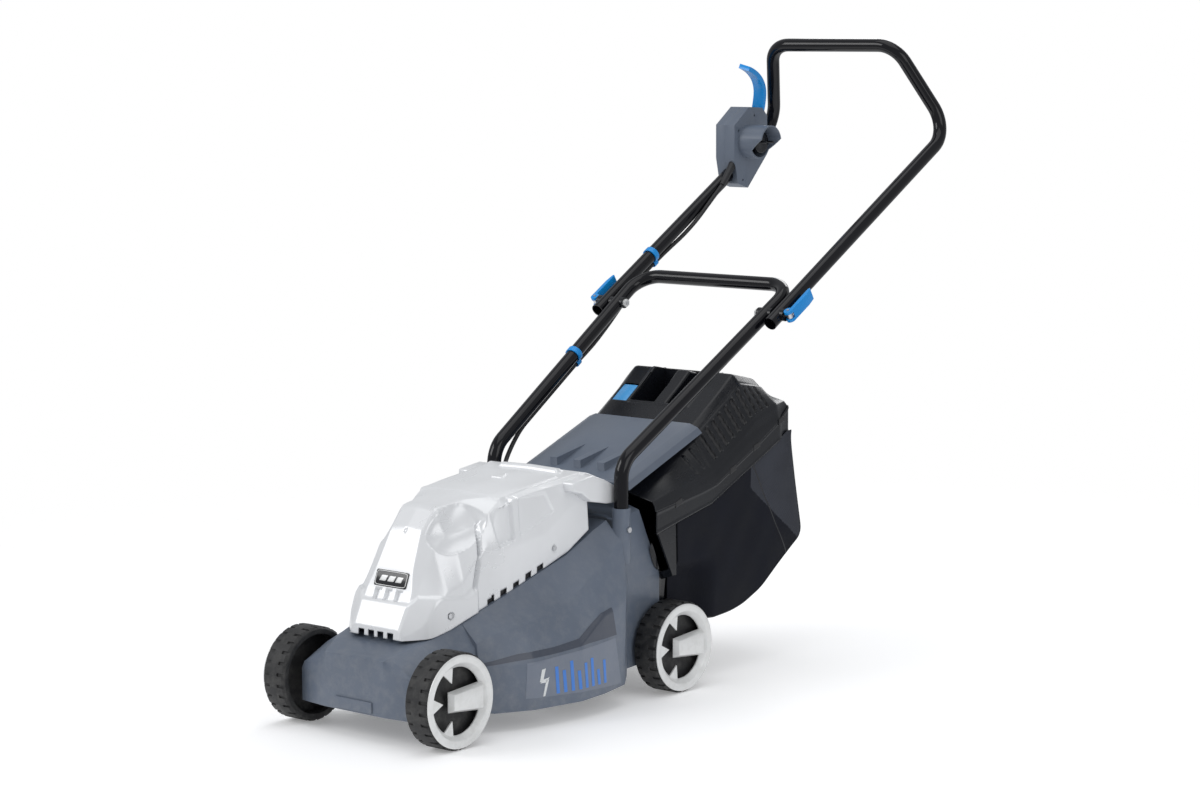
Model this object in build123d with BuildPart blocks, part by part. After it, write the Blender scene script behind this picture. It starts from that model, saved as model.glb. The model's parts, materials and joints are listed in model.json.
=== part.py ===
from build123d import *
import os
from math import atan2, cos, hypot, pi, radians, sin, tan

# Corded rotary lawn mower with a rear grass box and a folding handle.
# Millimetres. +Z is up, the mower's front faces -Y, and +X is the operator's left.
# Every height is counted from the ground. back(y) turns a distance behind the front axle
# into the model's own Y, whose origin is the middle of the whole length.

# ---- driving dimensions -------------------------------------------------------------
wheel_d = 140.0
wheel_width = 45.0
wheelbase = 488.5
front_face_x = 166.5
rear_face_x = 176.5
axle_d = 10.0
axle_fit = 0.06
height_step = 20.0

tube_d = 22.0
tube_wall = 1.4
tube_fit = 0.08
socket_x = 129.3
socket_y = 394.6
socket_top = 292.5
socket_depth = 75.0
socket_wall = 3.4
lower_bend_z = 359.8
crossbar_x = 156.3
crossbar_y = 786.1
crossbar_z = 602.4
joint_y = 722.0
spacer_t = 3.0
grip_bend_x = 182.0
grip_bend_y = 1182.5
grip_bend_z = 835.4
grip_bar_x = 126.4
grip_bar_y = 1103.3
grip_bar_z = 977.6
leg_overrun = 26.0
socket_bend_r = 46.0
crossbar_bend_r = 40.0
grip_bend_r = 50.0
grip_bar_bend_r = 46.0

bolt_d = 6.0
bolt_fit = 0.08
cam_r = 7.0
cam_gap = 0.3
cam_width = 19.0
cam_arm = 62.0
cam_pin_d = 4.0
pin_fit = 0.05

wall = 3.0
rim_z = 28.0
ground_gap = 0.3

motor_y = 238.0
motor_can_d = 104.0
motor_gap = 1.0
well_floor_z = 100.0
motor_can_h = 96.0
shaft_d = 12.0
shaft_fit = 0.05
blade_length = 318.0
blade_width = 46.0
blade_t = 3.2
blade_z = 43.0
blade_bolt_d = 6.0

flap_hinge_y = 424.0
flap_hinge_z = 324.0
flap_length = 190.0
flap_slope = 21.4
flap_top_half = 96.0
flap_half = 117.0
flap_t = 3.0
hinge_pin_d = 6.0

box_gap = 0.5
bag_wall = 2.5
lid_wall = 2.6

lever_x = -183.0
lever_width = 22.0
lever_t = 8.0

cable_d = 7.0
screw_d = 4.0
screw_fit = 0.1
seat_gap = 0.05

# ---- derived places -----------------------------------------------------------------
wheel_r = wheel_d / 2
tube_r = tube_d / 2
bolt_r = bolt_d / 2
axle_r = axle_d / 2
axle_z = wheel_r


def leg_share(y):
    return (y - socket_y) / (crossbar_y - socket_y)


joint_z = lower_bend_z + leg_share(joint_y) * (crossbar_z - lower_bend_z)
lower_joint_x = socket_x + leg_share(joint_y) * (crossbar_x - socket_x)
upper_joint_x = lower_joint_x + tube_d + spacer_t
leg_angle = atan2(grip_bend_z - joint_z, grip_bend_y - joint_y)
leg_length = hypot(grip_bend_y - joint_y, grip_bend_z - joint_z)


def upper_leg(along, side, shift=0.0):
    """Point on an upper leg's centre line, counted along the leg from the fold bolt."""
    share = along / leg_length
    return Vector(
        side * (upper_joint_x + share * (grip_bend_x - upper_joint_x)),
        shift + joint_y + along * cos(leg_angle),
        joint_z + along * sin(leg_angle),
    )


def upper_route(shift):
    corners = [upper_leg(-leg_overrun, 1, shift)]
    corners.append(Vector(grip_bend_x, shift + grip_bend_y, grip_bend_z))
    corners.append(Vector(grip_bar_x, shift + grip_bar_y, grip_bar_z))
    corners += [Vector(-p.X, p.Y, p.Z) for p in reversed(corners)]
    return corners


upper_radii = [grip_bend_r, grip_bar_bend_r, grip_bar_bend_r, grip_bend_r]
probe = FilletPolyline(*upper_route(0.0), radius=upper_radii)
rear_reach = probe.bounding_box().max.Y + tube_r
front_axle_y = (wheel_r - rear_reach) / 2


def back(y):
    return front_axle_y + y


def across(y):
    """Upright plane across the mower, y behind the front axle: local x is X, local y is Z."""
    return Plane(origin=(0, back(y), 0), x_dir=(1, 0, 0), z_dir=(0, -1, 0))


def side_on(x):
    """Upright plane along the mower at x: local x is Y from the front axle, local y is Z."""
    return Plane(origin=(x, front_axle_y, 0), x_dir=(0, 1, 0), z_dir=(1, 0, 0))


def mirrored(half):
    """Closed outline from the points of its left half, top first."""
    return half + [(-x, z) for x, z in reversed(half)]


def station_loft(stations):
    """Faceted solid through cross-sections along the mower, each a list of half points."""
    with BuildPart() as body:
        for y, half in stations:
            with BuildSketch(across(y)):
                with BuildLine():
                    Polyline(*mirrored(half), close=True)
                make_face()
        loft(ruled=True)
    return body.part


def inset(stations, t, drop, front, rear):
    """The same stations moved in by a wall, open below by drop, with new end positions."""
    moved = []
    for index, (y, half) in enumerate(stations):
        y = y + front if index == 0 else y + rear if index == len(stations) - 1 else y
        inner = [(x - t, z - t) for x, z in half[:-1]]
        inner.append((half[-1][0] - t, half[-1][1] - drop))
        moved.append((y, inner))
    return moved


def save(part, name):
    part.label = name
    export_step(part, f"parts/{name}.step")


os.makedirs("parts", exist_ok=True)
rear_axle_y = wheelbase
arch_r = wheel_r + height_step + 14.0
arch_front_y = rear_axle_y - arch_r
side_x = front_face_x - wheel_width - 3.5
rear_side_x = rear_face_x - wheel_width - 3.5

# ---- deck ---------------------------------------------------------------------------
# each station: top edge, shoulder, skirt crease and rim
front_stations = [
    (-46.0, [(58, 120), (59, 104), (60, 80), (60, 39)]),
    (-35.0, [(62, 124), (113, 96), (side_x, 86), (side_x, 38)]),
    (10.0, [(78, 138), (112, 118), (side_x, 100), (side_x, 36)]),
    (86.0, [(88, 159), (114, 125), (side_x, 100), (side_x, 33)]),
]
middle_stations = [
    (86.0, [(88, 159), (117, 132), (123, 92), (122, 32)]),
    (105.0, [(90, 165), (122, 140), (135, 93), (133, 29)]),
    (163.0, [(95, 185), (138, 148), (160, 96), (159, rim_z)]),
    (250.0, [(99, 214), (148, 166), (174, 111), (175, rim_z)]),
    (302.0, [(102, 231), (146, 200), (174, 148), (174, 30)]),
    (356.0, [(108, 262), (140, 226), (170, 160), (168, 34)]),
    (arch_front_y, [(112, 276), (137, 250), (150, 185), (148, 40)]),
]
rear_stations = [
    (arch_front_y, [(108, 280), (rear_side_x - 2, 274), (rear_side_x, 180), (rear_side_x, 42)]),
    (440.0, [(104, 290), (rear_side_x - 2, 284), (rear_side_x, 180), (rear_side_x, 46)]),
    (486.0, [(104, 187), (rear_side_x - 2, 185), (rear_side_x, 178), (rear_side_x, 50)]),
]
socket_r = tube_r + tube_fit + socket_wall
well_r = motor_can_d / 2 + motor_gap
chute_half = 96.0
chute_low = axle_z + height_step + axle_d + 0.5
chute_high = 176.0
slot_half = axle_r + 3.0
cheek_back_y = rear_axle_y + 24.0
cheek_outline = [
    (480, 45), (cheek_back_y, 45), (cheek_back_y, chute_low - 6), (cheek_back_y - 8, chute_low),
    (480, chute_low),
]
baffle_y = rear_axle_y - axle_r - 22.0
baffle_outline = [
    (baffle_y, 46), (baffle_y + wall, 46), (baffle_y + wall, chute_low - 2.5), (486, chute_low - 2.5),
    (486, chute_low), (baffle_y, chute_low),
]
bracket_screw_y = slot_half + 6.0
bracket_screw_z = axle_z - 14.0
ear_x = 98.0
ear_t = 6.0
ear_foot_z = 283.0
bracket_room_x = rear_side_x - 11.5
cover_screw_spots = [(83.6, 66.0, 172.0, 152.0), (98.8, 276.0, 244.0, 220.0)]

with BuildPart() as deck:
    add(station_loft(front_stations))
    add(station_loft(middle_stations))
    add(station_loft(rear_stations))
    add(station_loft(inset(front_stations, wall, 30, wall, wall + 1)), mode=Mode.SUBTRACT)
    add(station_loft(inset(middle_stations, wall, 30, wall, -wall)), mode=Mode.SUBTRACT)
    add(station_loft(inset(rear_stations, wall, 30, -wall - 1, -wall)), mode=Mode.SUBTRACT)
    # handle sockets: round columns on the shoulders
    for side in (1, -1):
        with BuildSketch(Plane((side * socket_x, back(socket_y), socket_top))):
            Circle(socket_r)
        extrude(amount=-(socket_depth + 8))
    # motor well hung under the top, with a floor for the motor
    with BuildSketch(Plane((0, back(motor_y), well_floor_z))):
        Circle(well_r + wall)
    extrude(amount=104)
    with BuildSketch(Plane((0, back(motor_y), well_floor_z + wall))):
        Circle(well_r)
    extrude(amount=160, mode=Mode.SUBTRACT)
    with BuildSketch(Plane((0, back(motor_y), well_floor_z - 1))):
        Circle(shaft_d / 2 + 9)
        with PolarLocations(well_r - 14, 4, start_angle=45):
            Circle(screw_d / 2 + screw_fit)
    extrude(amount=wall + 2, mode=Mode.SUBTRACT)
    # bores for the handle tubes and their cross screws
    for side in (1, -1):
        with BuildSketch(Plane((side * socket_x, back(socket_y), socket_top + 1))):
            Circle(tube_r + tube_fit)
        extrude(amount=-(socket_depth + 1), mode=Mode.SUBTRACT)
    with BuildSketch(Plane((0, back(socket_y), 0), x_dir=(0, 1, 0), z_dir=(1, 0, 0))):
        with Locations((0, socket_top - 32)):
            Circle(screw_d / 2 + screw_fit)
    extrude(amount=socket_x + 40, both=True, mode=Mode.SUBTRACT)
    # cheeks that carry the rear axle, and the shelf and baffle in front of it
    for side in (1, -1):
        with BuildSketch(side_on(side * rear_side_x)):
            with BuildLine():
                Polyline(*cheek_outline, close=True)
            make_face()
        extrude(amount=-side * wall)
    with BuildSketch(side_on(0)):
        with BuildLine():
            Polyline(*baffle_outline, close=True)
        make_face()
    extrude(amount=rear_side_x - wall, both=True)
    # upright slots that the axles move in
    for y in (0.0, rear_axle_y):
        with BuildSketch(Plane((0, back(y), axle_z), x_dir=(0, 0, 1), z_dir=(1, 0, 0))):
            SlotCenterToCenter(2 * height_step, 2 * slot_half)
        extrude(amount=rear_face_x, both=True, mode=Mode.SUBTRACT)
    for y, wall_x in ((0.0, side_x), (rear_axle_y, rear_side_x)):
        with BuildSketch(Plane((0, back(y), bracket_screw_z), x_dir=(0, 1, 0), z_dir=(1, 0, 0))):
            with Locations((-bracket_screw_y, 0), (bracket_screw_y, 0)):
                Circle(screw_d / 2 + screw_fit)
        extrude(amount=wall_x + 1, both=True, mode=Mode.SUBTRACT)
    # room for the rear brackets in the rear wall
    with BuildSketch(across(rear_axle_y)):
        with Locations((bracket_room_x, 80), (-bracket_room_x, 80)):
            Rectangle(9, 37)
    extrude(amount=8, mode=Mode.SUBTRACT)
    # ears for the flap's hinge pin
    for side in (1, -1):
        with BuildSketch(side_on(side * ear_x)):
            with Locations((flap_hinge_y, (flap_hinge_z + 7 + ear_foot_z) / 2)):
                Rectangle(15, flap_hinge_z + 7 - ear_foot_z)
            with Locations((flap_hinge_y, flap_hinge_z)):
                Circle(hinge_pin_d / 2 + seat_gap, mode=Mode.SUBTRACT)
        extrude(amount=side * ear_t)
    # bosses that the cover's screws bite into
    for x, y, z, foot in cover_screw_spots:
        for side in (1, -1):
            with BuildSketch(side_on(side * (x - wall - 2.2))):
                with Locations((y, (z + 8 + foot) / 2)):
                    Rectangle(14, z + 8 - foot)
                with Locations((y, z)):
                    Circle(screw_d / 2 + seat_gap, mode=Mode.SUBTRACT)
            extrude(amount=-side * 13)
    # discharge mouth in the rear wall
    with BuildSketch(across(500.0)):
        with Locations((0, (chute_low + chute_high) / 2)):
            Rectangle(2 * chute_half, chute_high - chute_low)
    extrude(amount=30, mode=Mode.SUBTRACT)
    # raised tab and lip on the nose
    with BuildSketch(across(-48.5)):
        with Locations((0, 50)):
            Rectangle(72, 16)
    extrude(amount=-4)
save(deck.part, "deck")

# ---- motor cover --------------------------------------------------------------------
cover_stations = [
    (2.0, [(42, 152), (46, 149), (47, 145), (47, 141)]),
    (15.0, [(43, 178), (47, 174), (60, 152), (63, 142)]),
    (28.0, [(45, 204), (50, 199), (74, 165), (78, 144)]),
    (41.0, [(36, 238), (50, 216), (78, 190), (80, 147)]),
    (64.0, [(30, 288), (54, 262), (82, 206), (84, 153)]),
    (92.0, [(32, 320), (58, 286), (84, 216), (87, 163)]),
    (142.0, [(38, 327), (72, 300), (88, 262), (90, 179)]),
    (182.0, [(62, 331), (93, 325), (98, 258), (94, 192)]),
    (255.0, [(84, 338), (96, 334), (100, 268), (98, 218)]),
    (306.0, [(87, 344), (97, 338), (101, 300), (100, 236)]),
    (346.0, [(88, 348), (97, 342), (103, 312), (106, 264)]),
]
cover_gap = 0.4
gland_r = 5.2
gland_at = Vector(-104, back(388), 329)
gland_dir = Vector(-18, 28, 14).normalized()
gland_plane = Plane(origin=gland_at, z_dir=gland_dir)
cover_outer = station_loft([(y, [(x, z + cover_gap) for x, z in h]) for y, h in cover_stations])
cover_inner = station_loft(inset(cover_stations, wall, 30, wall, -wall))
wing_outline = [(306, 342), (346, 346), (394, 326), (402, 312), (402, 297), (306, 318)]

with BuildPart() as motor_cover:
    add(cover_outer)
    add(cover_inner, mode=Mode.SUBTRACT)
    # bridges from the rear block to the two handle sockets
    for side in (1, -1):
        with BuildSketch(side_on(side * 98)):
            with BuildLine():
                Polyline(*wing_outline, close=True)
            make_face()
        extrude(amount=side * (socket_x - tube_r - 1.0 - 98))
    # rear saddle between the bridges, in front of the flap
    with BuildSketch(side_on(0)):
        with BuildLine():
            Polyline((346, 347), (396, 325), (402, 312), (402, 305), (346, 330), close=True)
        make_face()
    extrude(amount=98.5, both=True)
    # air intakes in the front bar
    with BuildSketch(across(0.0)):
        with GridLocations(19, 1, 4, 1):
            with Locations((0, 147)):
                Rectangle(12, 7)
    extrude(amount=-12, mode=Mode.SUBTRACT)
    # side air gaps along the lower edge
    with BuildSketch(side_on(0)):
        for k in range(4):
            with Locations((206 + 22 * k, 204 + 7 * k)):
                Rectangle(12, 14, rotation=18)
    extrude(amount=130, both=True, mode=Mode.SUBTRACT)
    # seats and holes for the cover's screws
    for x, y, z, foot in cover_screw_spots:
        for side in (1, -1):
            with BuildSketch(side_on(side * x)):
                with Locations((y, z)):
                    Circle(4.4)
            extrude(amount=side * 8, mode=Mode.SUBTRACT)
            with BuildSketch(side_on(side * (x + 1))):
                with Locations((y, z)):
                    Circle(screw_d / 2 + screw_fit)
            extrude(amount=-side * 8, mode=Mode.SUBTRACT)
    # hole for the cable gland in the right-hand bridge
    with BuildSketch(gland_plane):
        Circle(gland_r + seat_gap)
    extrude(amount=16, both=True, mode=Mode.SUBTRACT)
save(motor_cover.part, "motor_cover")

# ---- badge and cover screws ---------------------------------------------------------
badge_w = 64.0
badge_h = 24.0
badge_t = 1.6
badge_normal = Vector(0, -34, 13).normalized()
badge_foot = Vector(0, back(34.2), 220.2 + cover_gap) + badge_normal * seat_gap
with BuildPart() as badge:
    with BuildSketch(Plane(origin=badge_foot, x_dir=(1, 0, 0), z_dir=badge_normal)):
        RectangleRounded(badge_w, badge_h, 2.5)
    extrude(amount=badge_t)
save(badge.part, "badge_plate")

with BuildPart() as cover_screws:
    for x, y, z, foot in cover_screw_spots:
        for side in (1, -1):
            with BuildSketch(side_on(side * (x + seat_gap))):
                with Locations((y, z)):
                    Circle(3.8)
            extrude(amount=side * 2.2)
            with BuildSketch(side_on(side * (x + seat_gap))):
                with Locations((y, z)):
                    Circle(screw_d / 2)
            extrude(amount=-side * 13)

# ---- height brackets and axles ------------------------------------------------------
bracket_t = 3.0
bracket_off = 7.0
notch_r = axle_r + 1.4


def bracket_screw_points(axle_y):
    return [(axle_y - bracket_screw_y, bracket_screw_z), (axle_y + bracket_screw_y, bracket_screw_z)]


with BuildPart() as brackets:
    for axle_y, wall_x in ((0.0, side_x), (rear_axle_y, rear_side_x)):
        inner_x = wall_x - wall - seat_gap
        for side in (1, -1):
            with BuildSketch(side_on(side * (inner_x - bracket_off))):
                with Locations((axle_y, axle_z)):
                    Rectangle(38, 2 * height_step + axle_d + 5)
                with Locations((axle_y, axle_z)):
                    axle_way = axle_d + 2 * axle_fit
                    SlotCenterToCenter(2 * height_step + 1, axle_way, rotation=90, mode=Mode.SUBTRACT)
                with Locations(*[(axle_y + 1.2, axle_z + k * height_step) for k in (-1, 0, 1)]):
                    Circle(notch_r, mode=Mode.SUBTRACT)
                with Locations(*bracket_screw_points(axle_y)):
                    Circle(screw_d / 2 + screw_fit, mode=Mode.SUBTRACT)
            extrude(amount=-side * bracket_t)
            with BuildSketch(side_on(side * (inner_x - bracket_off))):
                with Locations(*bracket_screw_points(axle_y)):
                    Circle(5)
                    Circle(screw_d / 2 + screw_fit, mode=Mode.SUBTRACT)
            extrude(amount=side * bracket_off)
save(brackets.part, "height_brackets")

with BuildPart() as bracket_screws:
    for axle_y, wall_x in ((0.0, side_x), (rear_axle_y, rear_side_x)):
        head_x = wall_x - wall - seat_gap - bracket_off - bracket_t - seat_gap
        for side in (1, -1):
            with BuildSketch(side_on(side * head_x)):
                with Locations(*bracket_screw_points(axle_y)):
                    Circle(screw_d / 2)
            extrude(amount=side * (wall_x - head_x - 0.5))
            with BuildSketch(side_on(side * head_x)):
                with Locations(*bracket_screw_points(axle_y)):
                    Circle(3.6)
            extrude(amount=-side * 2.2)

axle_inset = 14.0
clip_r = 9.0
clip_t = 1.6
hub_end = axle_inset + clip_t + 2.6
for name, axle_y, face_x in (("front", 0.0, front_face_x), ("rear", rear_axle_y, rear_face_x)):
    with BuildPart() as axle:
        with BuildSketch(Plane((0, back(axle_y), axle_z), x_dir=(0, 1, 0), z_dir=(1, 0, 0))):
            Circle(axle_r)
        extrude(amount=face_x - axle_inset, both=True)
    save(axle.part, f"{name}_axle")
    with BuildPart() as clips:
        for side in (1, -1):
            with BuildSketch(side_on(side * (face_x - axle_inset - 1))):
                with Locations((axle_y, axle_z)):
                    Circle(clip_r)
                    Circle(axle_r + seat_gap, mode=Mode.SUBTRACT)
            extrude(amount=-side * clip_t)
    save(clips.part, f"{name}_axle_clips")

# ---- wheels -------------------------------------------------------------------------
tyre_inner_r = wheel_r - 8.0
cap_r = wheel_r - 3.0
barrel_r = 12.0
tread_count = 26
tread_depth = 2.6


def ring_of(axis, plane, outline):
    """Turned ring from an outline of (outward from the face, radius) points."""
    with BuildPart() as ring:
        with BuildSketch(plane):
            with BuildLine():
                Polyline(*outline, close=True)
            make_face()
        revolve(axis=axis)
    return ring.part


def make_wheel(name, side, axle_y, face_x):
    centre = Vector(side * face_x, back(axle_y), axle_z)
    radial = Plane(origin=centre, x_dir=(side, 0, 0), z_dir=(0, 1, 0))
    axis = Axis(centre, (1, 0, 0))
    face = Plane(origin=centre, x_dir=(0, 1, 0), z_dir=(side, 0, 0))
    inner = -wheel_width
    rim_in = tyre_inner_r - 3
    with BuildPart() as wheel:
        add(ring_of(axis, radial, [
            (-2, rim_in + 1), (-2, wheel_r - 3.5), (-5, wheel_r), (inner + 4, wheel_r),
            (inner, wheel_r - 4), (inner, rim_in), (-23, rim_in), (-23, barrel_r),
            (inner + 2, barrel_r), (inner + 2, axle_r + axle_fit), (-hub_end, axle_r + axle_fit),
            (-hub_end, barrel_r), (-20, barrel_r), (-20, rim_in - 1),
        ]))
        for start, depth in ((-2, -14), (inner, 14)):
            with BuildSketch(face.offset(start)):
                with PolarLocations(wheel_r, tread_count, start_angle=180 / tread_count):
                    Rectangle(2 * tread_depth, 5)
            extrude(amount=depth, mode=Mode.SUBTRACT)
    save(wheel.part, f"{name}_wheel")
    with BuildPart() as cap:
        add(ring_of(axis, radial, [
            (-1.9, cap_r), (-0.6, cap_r), (0, cap_r - 2), (-0.6, cap_r - 11), (-8, cap_r - 18),
            (-10, cap_r - 18), (-10, cap_r - 16), (-3, cap_r - 9.8), (-1.9, cap_r - 7.4),
        ]))
        with BuildSketch(face.offset(-9.5)):
            for angle in (112, 180, 248):
                with BuildLine():
                    tip = Vector(cap_r - 38, 0).rotate(Axis.Z, angle)
                    left = Vector(cap_r - 16.5, 11).rotate(Axis.Z, angle)
                    right = Vector(cap_r - 16.5, -11).rotate(Axis.Z, angle)
                    Polyline(tip, left, right, close=True)
                make_face()
        extrude(amount=2.5)
        with BuildSketch(face.offset(-10)):
            with BuildLine():
                Polyline((-17, -15), (cap_r - 16, -21), (cap_r - 16, 21), (-17, 15), close=True)
            make_face()
        extrude(amount=9.6, taper=24)
    save(cap.part, f"{name}_cap")


for name, side, axle_y, face_x in (
    ("front_left", 1, 0.0, front_face_x), ("front_right", -1, 0.0, front_face_x),
    ("rear_left", 1, rear_axle_y, rear_face_x), ("rear_right", -1, rear_axle_y, rear_face_x),
):
    make_wheel(name, side, axle_y, face_x)


# ---- handle tubes -------------------------------------------------------------------
lower_route = [
    Vector(socket_x, back(socket_y), socket_top - socket_depth + 2),
    Vector(socket_x, back(socket_y), lower_bend_z),
    Vector(crossbar_x, back(crossbar_y), crossbar_z),
]
lower_route += [Vector(-p.X, p.Y, p.Z) for p in reversed(lower_route)]
lower_radii = [socket_bend_r, crossbar_bend_r, crossbar_bend_r, socket_bend_r]
joint = {side: Vector(side * lower_joint_x, back(joint_y), joint_z) for side in (1, -1)}
leg_dir = Vector(0, cos(leg_angle), sin(leg_angle))
leg_up = Vector(0, -sin(leg_angle), cos(leg_angle))


def bolt_plane(x):
    """Plane facing +X at x, centred on the fold bolt: local x runs up the handle."""
    return Plane(origin=(x, back(joint_y), joint_z), x_dir=leg_dir, z_dir=(1, 0, 0))


def bent_tube(corners, radii):
    with BuildPart() as tube:
        with BuildLine() as path:
            FilletPolyline(*corners, radius=radii)
        with BuildSketch(Plane(origin=path.line @ 0, z_dir=path.line % 0)):
            Circle(tube_r)
            Circle(tube_r - tube_wall, mode=Mode.SUBTRACT)
        sweep()
    return tube.part


with BuildPart() as lower_handle:
    add(bent_tube(lower_route, lower_radii))
    with BuildSketch(bolt_plane(0)):
        Circle(bolt_r + bolt_fit)
    extrude(amount=lower_joint_x + 40, both=True, mode=Mode.SUBTRACT)
    with BuildSketch(Plane((0, back(socket_y), socket_top - 32), x_dir=(0, 1, 0), z_dir=(1, 0, 0))):
        Circle(screw_d / 2 + screw_fit)
    extrude(amount=socket_x + 40, both=True, mode=Mode.SUBTRACT)
save(lower_handle.part, "lower_handle")

with BuildPart() as upper_handle:
    add(bent_tube(upper_route(front_axle_y), upper_radii))
    with BuildSketch(bolt_plane(0)):
        Circle(bolt_r + bolt_fit)
    extrude(amount=upper_joint_x + 40, both=True, mode=Mode.SUBTRACT)
save(upper_handle.part, "upper_handle")

with BuildPart() as handle_screws:
    for side in (1, -1):
        outer_x = side * (socket_x + socket_r + seat_gap)
        with BuildSketch(side_on(outer_x)):
            with Locations((socket_y, socket_top - 32)):
                Circle(screw_d / 2)
        extrude(amount=-side * (2 * socket_r + 2))
        with BuildSketch(side_on(outer_x)):
            with Locations((socket_y, socket_top - 32)):
                Circle(4.2)
        extrude(amount=side * 2.6)

# ---- fold joint: saddles, bolts, nuts and cam levers --------------------------------
saddle_r = 9.0
washer_t = 3.0
nut_t = 5.2
eye_r = 5.4
eye_width = 8.0
pin_x = upper_joint_x + tube_r + washer_t + cam_gap + cam_r
lower_inner_x = lower_joint_x - tube_r - washer_t
with BuildPart() as saddles:
    for side in (1, -1):
        with BuildSketch(bolt_plane(side * lower_inner_x)):
            Circle(saddle_r)
        extrude(amount=side * (washer_t + 6))
        with BuildSketch(bolt_plane(side * (lower_joint_x + tube_r - 6))):
            Circle(saddle_r)
        extrude(amount=side * (6 + spacer_t - ground_gap))
    with BuildSketch(bolt_plane(0)):
        Circle(bolt_r + bolt_fit)
    extrude(amount=upper_joint_x, both=True, mode=Mode.SUBTRACT)
    for side in (1, -1):
        leg_way = Vector(side * (crossbar_x - socket_x), crossbar_y - socket_y, crossbar_z - lower_bend_z)
        with BuildSketch(Plane(origin=joint[side], z_dir=leg_way)):
            Circle(tube_r + seat_gap)
        extrude(amount=40, both=True, mode=Mode.SUBTRACT)
save(saddles.part, "joint_saddles")

with BuildPart() as washers:
    for side in (1, -1):
        with BuildSketch(bolt_plane(side * (upper_joint_x + tube_r + washer_t))):
            Circle(saddle_r + 1)
        extrude(amount=-side * (washer_t + 6))
    with BuildSketch(bolt_plane(0)):
        Circle(bolt_r + bolt_fit)
    extrude(amount=upper_joint_x + 40, both=True, mode=Mode.SUBTRACT)
    for side in (1, -1):
        start = upper_leg(-40, side, front_axle_y)
        with BuildSketch(Plane(origin=start, z_dir=upper_leg(40, side, front_axle_y) - start)):
            Circle(tube_r + seat_gap)
        extrude(amount=80, mode=Mode.SUBTRACT)
save(washers.part, "joint_washers")

nut_x = lower_inner_x - 0.2
with BuildPart() as bolts:
    for side in (1, -1):
        with BuildSketch(bolt_plane(side * (nut_x - nut_t - 1))):
            Circle(bolt_r)
        extrude(amount=side * (pin_x - nut_x + nut_t + 1 - 2))
        with BuildSketch(Plane(origin=(side * pin_x, back(joint_y), joint_z), x_dir=leg_dir, z_dir=leg_up)):
            Circle(eye_r)
        extrude(amount=eye_width / 2, both=True)
        with BuildSketch(Plane(origin=(side * pin_x, back(joint_y), joint_z), x_dir=leg_dir, z_dir=leg_up)):
            Circle(cam_pin_d / 2 + seat_gap)
        extrude(amount=eye_width, both=True, mode=Mode.SUBTRACT)
save(bolts.part, "joint_bolts")

with BuildPart() as nuts:
    for side in (1, -1):
        with BuildSketch(bolt_plane(side * nut_x)):
            RegularPolygon(6.4, 6)
            Circle(bolt_r + seat_gap, mode=Mode.SUBTRACT)
        extrude(amount=-side * nut_t)
save(nuts.part, "joint_nuts")

with BuildPart() as cam_pins:
    for side in (1, -1):
        with BuildSketch(Plane(origin=(side * pin_x, back(joint_y), joint_z), x_dir=leg_dir, z_dir=leg_up)):
            Circle(cam_pin_d / 2)
        extrude(amount=cam_width / 2 + 1, both=True)

for name, side in (("left", 1), ("right", -1)):
    cam_plane = Plane(origin=(side * pin_x, back(joint_y), joint_z), x_dir=leg_dir, z_dir=leg_up)
    out = -side
    with BuildPart() as lever:
        with BuildSketch(cam_plane):
            Circle(cam_r)
            with BuildLine():
                Polyline(
                    (0, out * cam_r), (cam_arm * 0.7, out * (cam_r + 0.6)), (cam_arm - 3, out * 5.5),
                    (cam_arm, out * 3), (cam_arm - 3, out * 0.8), (6, out * 0.8), (0, 0), close=True,
                )
            make_face()
        extrude(amount=cam_width / 2, both=True)
        with BuildSketch(cam_plane):
            Circle(cam_r + 0.6)
        extrude(amount=eye_width / 2 + 0.4, both=True, mode=Mode.SUBTRACT)
        with BuildSketch(cam_plane):
            Circle(cam_pin_d / 2 + pin_fit)
        extrude(amount=cam_width, both=True, mode=Mode.SUBTRACT)
    save(lever.part, f"cam_lever_{name}")


# ---- switch box on the right-hand leg -----------------------------------------------
box_leg_x = -(upper_joint_x + grip_bend_x) / 2 - 1.5
box_outer_x = box_leg_x - tube_r - 9.0
box_inner_x = box_leg_x + tube_r + 9.0
box_wall = 2.4
box_outline = [
    (1042, 786), (1042, 842), (1083, 872), (1120, 870), (1134, 856), (1134, 790), (1080, 734), (1052, 742),
]
box_core = [
    (1044.6, 787), (1044.6, 841), (1084, 869.4), (1119, 867.4), (1131.4, 855), (1131.4, 791),
    (1079, 737), (1053, 745),
]
box_screw_points = [(1054, 832), (1098, 857), (1066, 748)]
lever_slot_y = 1122.0
leg_start = upper_leg(330, -1, front_axle_y)
leg_bore = Plane(origin=leg_start, z_dir=upper_leg(480, -1, front_axle_y) - leg_start)
hood_y = 1080.0
hood_z = 813.0
hood_r = 28.5
hood_length = 50.0
inlet_r = 19.0
inlet_length = 30.0
prong_r = 2.0
prong_gap = 19.0
prong_length = 17.0
pivot_y = 1117.0
pivot_z = 829.0
pivot_r = 2.5
lock_y = 1074.0
lock_z = 848.0
lock_r = 6.0
lock_travel = 3.0
lever_lean = 13.5
boot_r = 7.0
boot_foot = Vector(-169.2, back(1047), 774)
boot_tip = Vector(-164.2, back(1012), 741)
boot_plane = Plane(origin=boot_foot, z_dir=boot_tip - boot_foot)
boot_length = (boot_tip - boot_foot).length
lever_plane = Plane(
    origin=(lever_x, back(pivot_y), pivot_z), x_dir=(0, 1, 0),
    z_dir=(cos(radians(lever_lean)), 0, -sin(radians(lever_lean))),
)


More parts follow.
